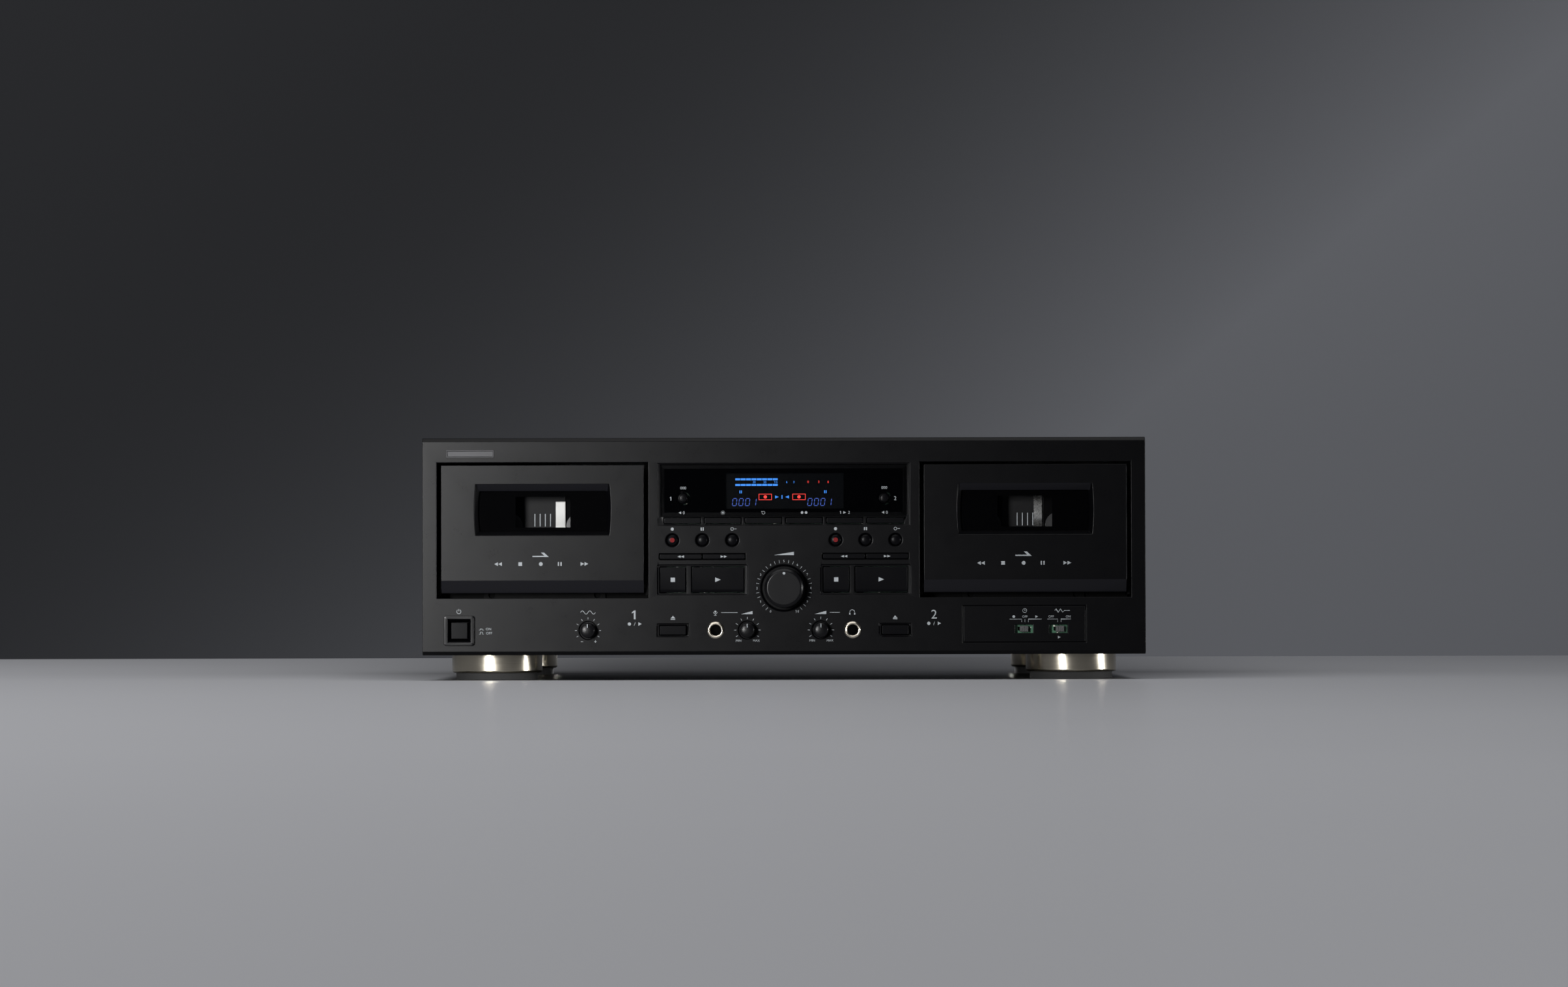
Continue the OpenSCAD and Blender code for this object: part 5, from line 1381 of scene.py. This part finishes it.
class DECK_OT_rear(bpy.types.Operator):
    """Rear sockets and the colour rings of the line sockets"""
    bl_idname = "deck.rear"
    bl_label = "Rear sockets"

    def execute(self, context):
        dressed("rear_sockets", edge=0.0002)
        bore, rim = 4.3, 6.3
        back = span("rear_panel")[1].y
        for mount in frame["record"]["mounts"]:
            if not mount["name"].startswith("line_"):
                continue
            x, _, z = (value / MM for value in mount["pos_m"])
            outer = [[bore, back], [rim, back], [rim, back + 0.9], [6.0, back + 1.2]]
            inner = [[4.9, back + 1.2], [bore, back + 0.8], [bore, back]]
            piece = lathe(outer + inner, x, z)
            soften(piece, edge=0.00008)
            slot = "socket_white" if mount["name"].endswith("left") else "socket_red"
            wear(piece, mount["name"] + "_ring", "chassis", slot)
        return {"FINISHED"}


class DECK_OT_prints(bpy.types.Operator):
    """Printed marks on the panel, the windows, the doors, the keys and the knobs"""
    bl_idname = "deck.prints"
    bl_label = "Prints"

    def execute(self, context):
        self.panel()
        self.window()
        for deck in DECKS:
            self.door(deck)
            self.deck_keys(deck)
        self.knobs()
        return {"FINISHED"}

    def panel(self):
        """Marks on the front panel: scales, symbols and switch positions."""
        sheet = Sheet()
        x, z = middle("record_level_knob")
        figure = 1.35
        sheet.draw(ticks(x, z, 15.2, 17.0, [a for a in range(-150, 151, 10) if a % 30], LINE))
        for i in range(11):
            a, b = polar(x, z, 16.2, -150 + 30 * i)
            if i == 1:
                sheet.draw(one(a, b, figure))
            elif i == 10:
                sheet.draw(one(a - 0.75, b, figure)).write("0", a + 0.45, b, figure)
            else:
                sheet.write(str(i), a, b, figure)
        sheet.draw(wedge(x, 76.0, 12.0, 2.0))
        for node in SMALL_KNOBS:
            sheet.draw(ticks(*middle(node), 6.6, 7.9, range(-120, 121, 30), 0.3))
        for deck in DECKS:
            self.deck_marks(sheet, deck)
        self.jack_row(sheet)
        self.left_end(sheet)
        self.right_end(sheet)
        sheet.lay("panel_print", 0.0, "chassis", "legend_print")

    def number(self, sheet, deck, x, z, high):
        """A deck's number."""
        if deck == 1:
            sheet.draw(one(x, z, high))
        else:
            sheet.write(str(deck), x, z, high)

    def deck_marks(self, sheet, deck):
        """Marks at a deck's round buttons and eject key, and under its number."""
        x, _ = middle(f"record_button_{deck}")
        sheet.draw(disc(x, BUTTON_ROW, 0.95))
        x, _ = middle(f"pause_button_{deck}")
        sheet.draw(pause_mark(x, BUTTON_ROW, 0.6, 0.7, 1.9))
        x, _ = middle(f"mute_button_{deck}")
        sheet.draw(ring(x, BUTTON_ROW, 0.85, 0.3) + bar(x + 2.0, BUTTON_ROW, 1.4, 0.3))
        x, _ = middle(f"eject_key_{deck}")
        sheet.draw(peak(x, 37.9, 2.7, 1.5) + bar(x, 36.6, 2.7, 0.5))
        x = -89.8 if deck == 1 else 90.2
        self.number(sheet, deck, x, 39.3, 5.3)
        row = 33.8
        sheet.draw(disc(x - 3.2, row, 1.0) + bar(x, row, 0.25, 2.2, 20) + arrow(x + 3.2, row, 2.0, 2.1))

    def jack_row(self, sheet):
        """Marks above and below the jacks and their level knobs."""
        low, line = 23.7, 0.28
        sheet.draw(microphone_mark(-41.3, 40.6, 1.5) + bar(-32.85, JACK_ROW, 9.9, line))
        sheet.draw(wedge(-22.4, JACK_ROW, 7.0, 1.9) + wedge(21.9, JACK_ROW, 7.0, 1.9))
        sheet.draw(bar(30.55, JACK_ROW, 6.1, line) + headphone_mark(41.0, 40.7, 1.5))
        for x in (-22.05, 22.2):
            sheet.write("MIN", x - 5.3, low, 1.3).write("MAX", x + 5.4, low, 1.3)

    def left_end(self, sheet):
        """Marks at the power switch and the pitch knob."""
        sheet.draw(power_mark(-195.5, 41.5, 1.25))
        sheet.write("ON", -177.7, 31.0, 1.5).write("OFF", -177.3, 28.5, 1.5)
        for foot, top in ((30.4, 31.0), (27.9, 29.2)):
            sheet.draw(stroke([(-183.4, foot), (-182.6, foot), (-182.6, top), (-181.3, top),
                               (-181.3, foot), (-180.5, foot)], LINE))
        sheet.draw(wave_mark(-117.9, 40.8, 9.0, 2.0, 0.32))
        minus, plus, line = -121.5, -113.4, 0.3
        sheet.draw(bar(minus, 23.3, 1.4, line) + bar(plus, 23.3, 1.4, line))
        sheet.draw(bar(plus, 23.8, line, 0.6) + bar(plus, 22.8, line, 0.6))

    def right_end(self, sheet):
        """Marks at the two slide switches."""
        row, mark_row = 37.7, 41.3
        sheet.draw(clock_mark(144.7, mark_row, 1.2) + disc(138.1, row, 0.8) + arrow(151.9, row, 1.6, 1.6))
        for text, x in (("OFF", 144.8), ("OFF", 160.6), ("ON", 170.8)):
            sheet.write(text, x, row, 1.35)
        sheet.draw(zigzag_mark(167.3, mark_row, 9.0, 2.0, 0.3) + arrow(165.4, 25.3, 1.6, 1.6))
        foot, top = 34.4, 36.2
        lines = ((135.6, 142.9, True), (146.9, 154.9, False), (158.2, 164.5, True), (166.5, 172.5, False))
        for start, end, leg_last in lines:
            points = [(start, top), (end, top), (end, foot)]
            if not leg_last:
                points = [(start, foot), (start, top), (end, top)]
            sheet.draw(stroke(points, LINE))
        sheet.draw(bar(144.8, 35.3, LINE, 1.8))

    def window(self):
        """Marks on the display window: reset places, deck numbers and the slim keys' symbols."""
        sheet = Sheet()
        for deck in DECKS:
            x, z = middle(f"reset_button_{deck}")
            sheet.write("000", x, 115.5, 1.7)
            self.number(sheet, deck, x + (-7.4 if deck == 1 else 6.6), z - 0.2, 2.3)
            x, _ = middle(f"zero_return_key_{deck}")
            sheet.draw(arrow(x - 1.4, SLIM_ROW, 1.5, 1.7, -1)).write("0", x + 0.9, SLIM_ROW, 1.8)
        sheet.draw(sun(middle("dimmer_key")[0], SLIM_ROW, 1.25))
        sheet.draw(loop_mark(middle("repeat_key")[0], 100.5, 0.85))
        x, _ = middle("parallel_key")
        sheet.draw(disc(x - 1.2, SLIM_ROW, 0.8) + disc(x + 1.2, SLIM_ROW, 0.8))
        x, _ = middle("dub_start_key")
        sheet.draw(one(x - 2.4, SLIM_ROW, 1.7)).write("2", x + 2.6, SLIM_ROW, 1.7)
        sheet.draw(arrow(x, SLIM_ROW, 1.7, 1.6))
        sheet.lay("window_print", span("display_window")[0].y, "chassis", "legend_print")

    def door(self, deck):
        """Marks on a door: an arrow over a row of tape symbols, and the scale on its window."""
        x, _ = middle(f"door_panel_{deck}")
        row = 70.0
        sheet = Sheet()
        sheet.draw(half_arrow(x + 3.8, 74.2, 9.8, 2.65, 0.7))
        sheet.draw(double_arrow(x - 27.9, row, 2.4, 2.2, 2.3, -1))
        sheet.draw(bar(x - 13.4, row, 2.2, 2.2) + disc(x - 1.0, row, 1.15))
        sheet.draw(pause_mark(x + 10.4, row, 0.8, 0.75, 2.3))
        sheet.draw(double_arrow(x + 24.0, row, 2.4, 2.2, 2.3))
        sheet.lay(f"door_print_{deck}", span(f"door_panel_{deck}")[0].y, f"door_{deck}", "legend_print")
        scale = Sheet()
        for step in (-4.7, -1.55, 1.55, 4.7):
            scale.draw(bar(x + step, 96.4, 0.45, 7.6))
        scale.lay(f"scale_print_{deck}", span(f"door_window_{deck}")[0].y, f"door_{deck}", "legend_print")

    def mark(self, node, shape, slot="legend_print", ending="print"):
        """Lays a mark on the front of a piece that moves; shape draws it round the piece's middle."""
        sheet = Sheet().draw(shape(*middle(node)))
        sheet.lay(f"{node}_{ending}", span(node)[0].y, node, slot)

    def deck_keys(self, deck):
        """Symbols on a deck's keys."""
        for kind, way in (("rewind_key", -1), ("forward_key", 1)):
            self.mark(f"{kind}_{deck}", lambda x, z: double_arrow(x - 1.0, z, 2.05, 1.9, 1.5, way))
        self.mark(f"stop_key_{deck}", lambda x, z: bar(x, z, 2.6, 2.6))
        self.mark(f"play_key_{deck}", lambda x, z: arrow(x, z, 3.3, 2.8))
        self.mark(f"record_button_{deck}", lambda x, z: disc(x, z, 1.4), "record_red")

    def knobs(self):
        """The dot on the record level knob and the lines on the small ones."""
        self.mark("record_level_knob", lambda x, z: disc(x, z + 8.8, 0.8), ending="dot")
        for node in SMALL_KNOBS:
            self.mark(node, lambda x, z: bar(x, z + 2.7, 0.5, 2.2), ending="line")


class DECK_OT_stage(bpy.types.Operator):
    """Floor, backdrop, lights, world and camera"""
    bl_idname = "deck.stage"
    bl_label = "Stage"

    def execute(self, context):
        values = look().stage
        back = FACE + values.back_distance
        self.lights([self.floor(values.floor_colour, back), self.backdrop(values.back_colour, back)])
        self.world()
        self.camera(values)
        context.scene.view_settings.view_transform = "Standard"
        return {"FINISHED"}

    def flat(self, name, finish, wide, long, spot, tilt=0):
        """A flat piece of the stage, with its middle at a spot and tilted by degrees."""
        bpy.ops.object.select_all(action="DESELECT")
        bpy.ops.mesh.primitive_plane_add(size=1, location=(0, 0, 0))
        piece = bpy.context.view_layer.objects.active
        piece.scale = (wide, long, 1)
        piece.rotation_euler = (math.radians(tilt), 0, 0)
        piece.location = spot
        settle(piece)
        piece.name = name
        piece.data.materials.append(finish.material)
        return piece

    def floor(self, colour, back):
        """A floor that runs under the backdrop, with painted light that makes it lighter to the left and a
        painted shadow that makes it dark behind the deck.
        """
        level, slope, uneven = 0.56, 0.5, 0.04
        finish = Finish("floor")
        slow = finish.noise(0.4, 3.0)
        # Painted light: the floor's colour gets lighter to the left, as if more light fell there
        share = level - finish.axis("X") * slope + (slow - 0.5) * uneven
        lit = finish.tones(share, colour, spread=0.5)
        # Painted shadow: the floor's colour where the deck's shadow falls behind it
        dark = tuple(c * 0.02 for c in colour)
        finish.shade(Base_Color=finish.blend(self.shade_behind(finish), lit, dark), Roughness=0.32)
        return self.flat("floor", finish, 9.0, 9.0, (0, back - 2.0, 0))

    def shade_behind(self, finish):
        """The painted shadow on the floor: full just behind the deck, less to its sides and further away.
        """
        centre, half_width = 0.03, 0.27
        lead, reach, fade = 0.1, 0.25, 0.3
        away = finish.axis("Y")
        across = (finish.axis("X") - centre) / half_width
        rise = ((away + lead) / reach).clamped()
        side = across * across
        return rise * (1 - away * fade) / (1 + side * side)

    def backdrop(self, colour, back):
        """A backdrop with painted light, lighter low down and to the right, that is clear from behind."""
        level, to_right, upwards, curve = 0.955, 0.979, 1.175, 2.6
        finish = Finish("backdrop")
        # Painted light: the colour darkens towards the upper left, as if less light fell there
        share = level + finish.axis("X") * to_right - finish.axis("Z") * upwards
        dark = tuple(c * 0.14 for c in colour)
        finish.shade(
            Base_Color=finish.blend(share.power(curve), dark, colour),
            Specular_IOR_Level=0.1,
            Roughness=0.8)
        finish.one_sided()
        return self.flat("backdrop", finish, 9.0, 5.0, (0, back, 2.5), 90)

    def lights(self, stage):
        """Soft boxes: a key at the left, a wide one overhead, a small one for the feet, one behind."""
        # Name, spot, aim, width and height in metres, watts, and the angle that the light spreads over
        boxes = (
            ("key_light", (-0.75, -2.0, 0.25), (-0.2, FACE, 0.1), 0.3, 0.55, 3.9, 40),
            ("top_light", (-0.5, -1.25, 2.5), (-0.5, -1.25, 0.0), 3.2, 3.0, 72.0, 180),
            ("side_light", (1.6, -0.35, 0.09), (0.175, -0.1, 0.02), 0.12, 0.16, 1.4, 60),
            ("rear_light", (0.0, 0.85, 0.11), (0.0, 0.13, 0.08), 0.42, 0.1, 1.5, 100),
        )
        for name, spot, aim, wide, high, watts, spread in boxes:
            bpy.ops.object.select_all(action="DESELECT")
            bpy.ops.object.light_add(type="AREA", location=spot)
            lamp = bpy.context.view_layer.objects.active
            lamp.name = name
            lamp.data.shape = "RECTANGLE"
            lamp.data.size = wide
            lamp.data.size_y = high
            lamp.data.energy = watts
            lamp.data.spread = math.radians(spread)
            lamp.visible_camera = False
            lamp.rotation_euler = (Vector(aim) - Vector(spot)).to_track_quat("-Z", "Y").to_euler()
            if name != "top_light":
                self.keep_off(lamp, stage)

    def keep_off(self, lamp, stage):
        """Keeps a lamp's light off the stage, so that it makes no glare there."""
        spared = bpy.data.collections.new(lamp.name + "_keeps_off")
        for piece in stage:
            spared.objects.link(piece)
        lamp.light_linking.receiver_collection = spared
        for entry in spared.collection_objects:
            entry.light_linking.link_state = "EXCLUDE"

    def world(self):
        """A plain grey world."""
        world = bpy.data.worlds.new("studio")
        world.use_nodes = True
        sky = world.node_tree.nodes["Background"]
        sky.inputs["Color"].default_value = (0.86, 0.9, 1.0, 1.0)
        sky.inputs["Strength"].default_value = 0.04
        bpy.context.scene.world = world

    def camera(self, values):
        """The photograph's view: low, in front, with a long lens."""
        tilt, roll = math.radians(91.297), math.radians(0.14)
        bpy.ops.object.select_all(action="DESELECT")
        bpy.ops.object.camera_add(
            location=(0, FACE - values.camera_distance, values.camera_height), rotation=(tilt, roll, 0))
        eye = bpy.context.view_layer.objects.active
        eye.name = "camera"
        eye.data.lens = values.camera_lens
        eye.data.sensor_width = 36.0
        eye.data.dof.use_dof = False
        eye.data.clip_end = 50.0
        bpy.context.scene.camera = eye


PIECES = (
    DECK_OT_case, DECK_OT_feet, DECK_OT_doors, DECK_OT_display, DECK_OT_keys, DECK_OT_knobs,
    DECK_OT_switches, DECK_OT_jacks, DECK_OT_transports, DECK_OT_boards, DECK_OT_rear, DECK_OT_prints,
    DECK_OT_stage,
)
LOOKS = (CaseLook, FootLook, WindowLook, ControlLook, PrintLook, StageLook, DeckLook)


class DECK_PT_sidebar(bpy.types.Panel):
    """The deck's pieces and looks in the sidebar"""
    bl_idname = "DECK_PT_sidebar"
    bl_label = "Double cassette deck"
    bl_space_type = "VIEW_3D"
    bl_region_type = "UI"
    bl_category = "Deck"

    def draw(self, context):
        values = context.scene.deck_look
        for group in ("case", "foot", "window", "control", "prints", "stage"):
            box = self.layout.box()
            part = getattr(values, group)
            for key in part.bl_rna.properties.keys():
                if key not in ("rna_type", "name"):
                    box.prop(part, key)
        for piece in PIECES:
            self.layout.operator(piece.bl_idname)


def register():
    """Makes the classes and the scene's values known."""
    for group in LOOKS + PIECES + (DECK_PT_sidebar,):
        bpy.utils.register_class(group)
    bpy.types.Scene.deck_look = bpy.props.PointerProperty(
        type=DeckLook, name="Deck look", description="Sizes and colours of the deck")


def unregister():
    """Takes them away again."""
    del bpy.types.Scene.deck_look
    for group in reversed(LOOKS + PIECES + (DECK_PT_sidebar,)):
        bpy.utils.unregister_class(group)


def main():
    """Makes all the pieces."""
    register()
    for piece in PIECES:
        group, name = piece.bl_idname.split(".")
        getattr(getattr(bpy.ops, group), name)()


if __name__ == "__main__":
    main()
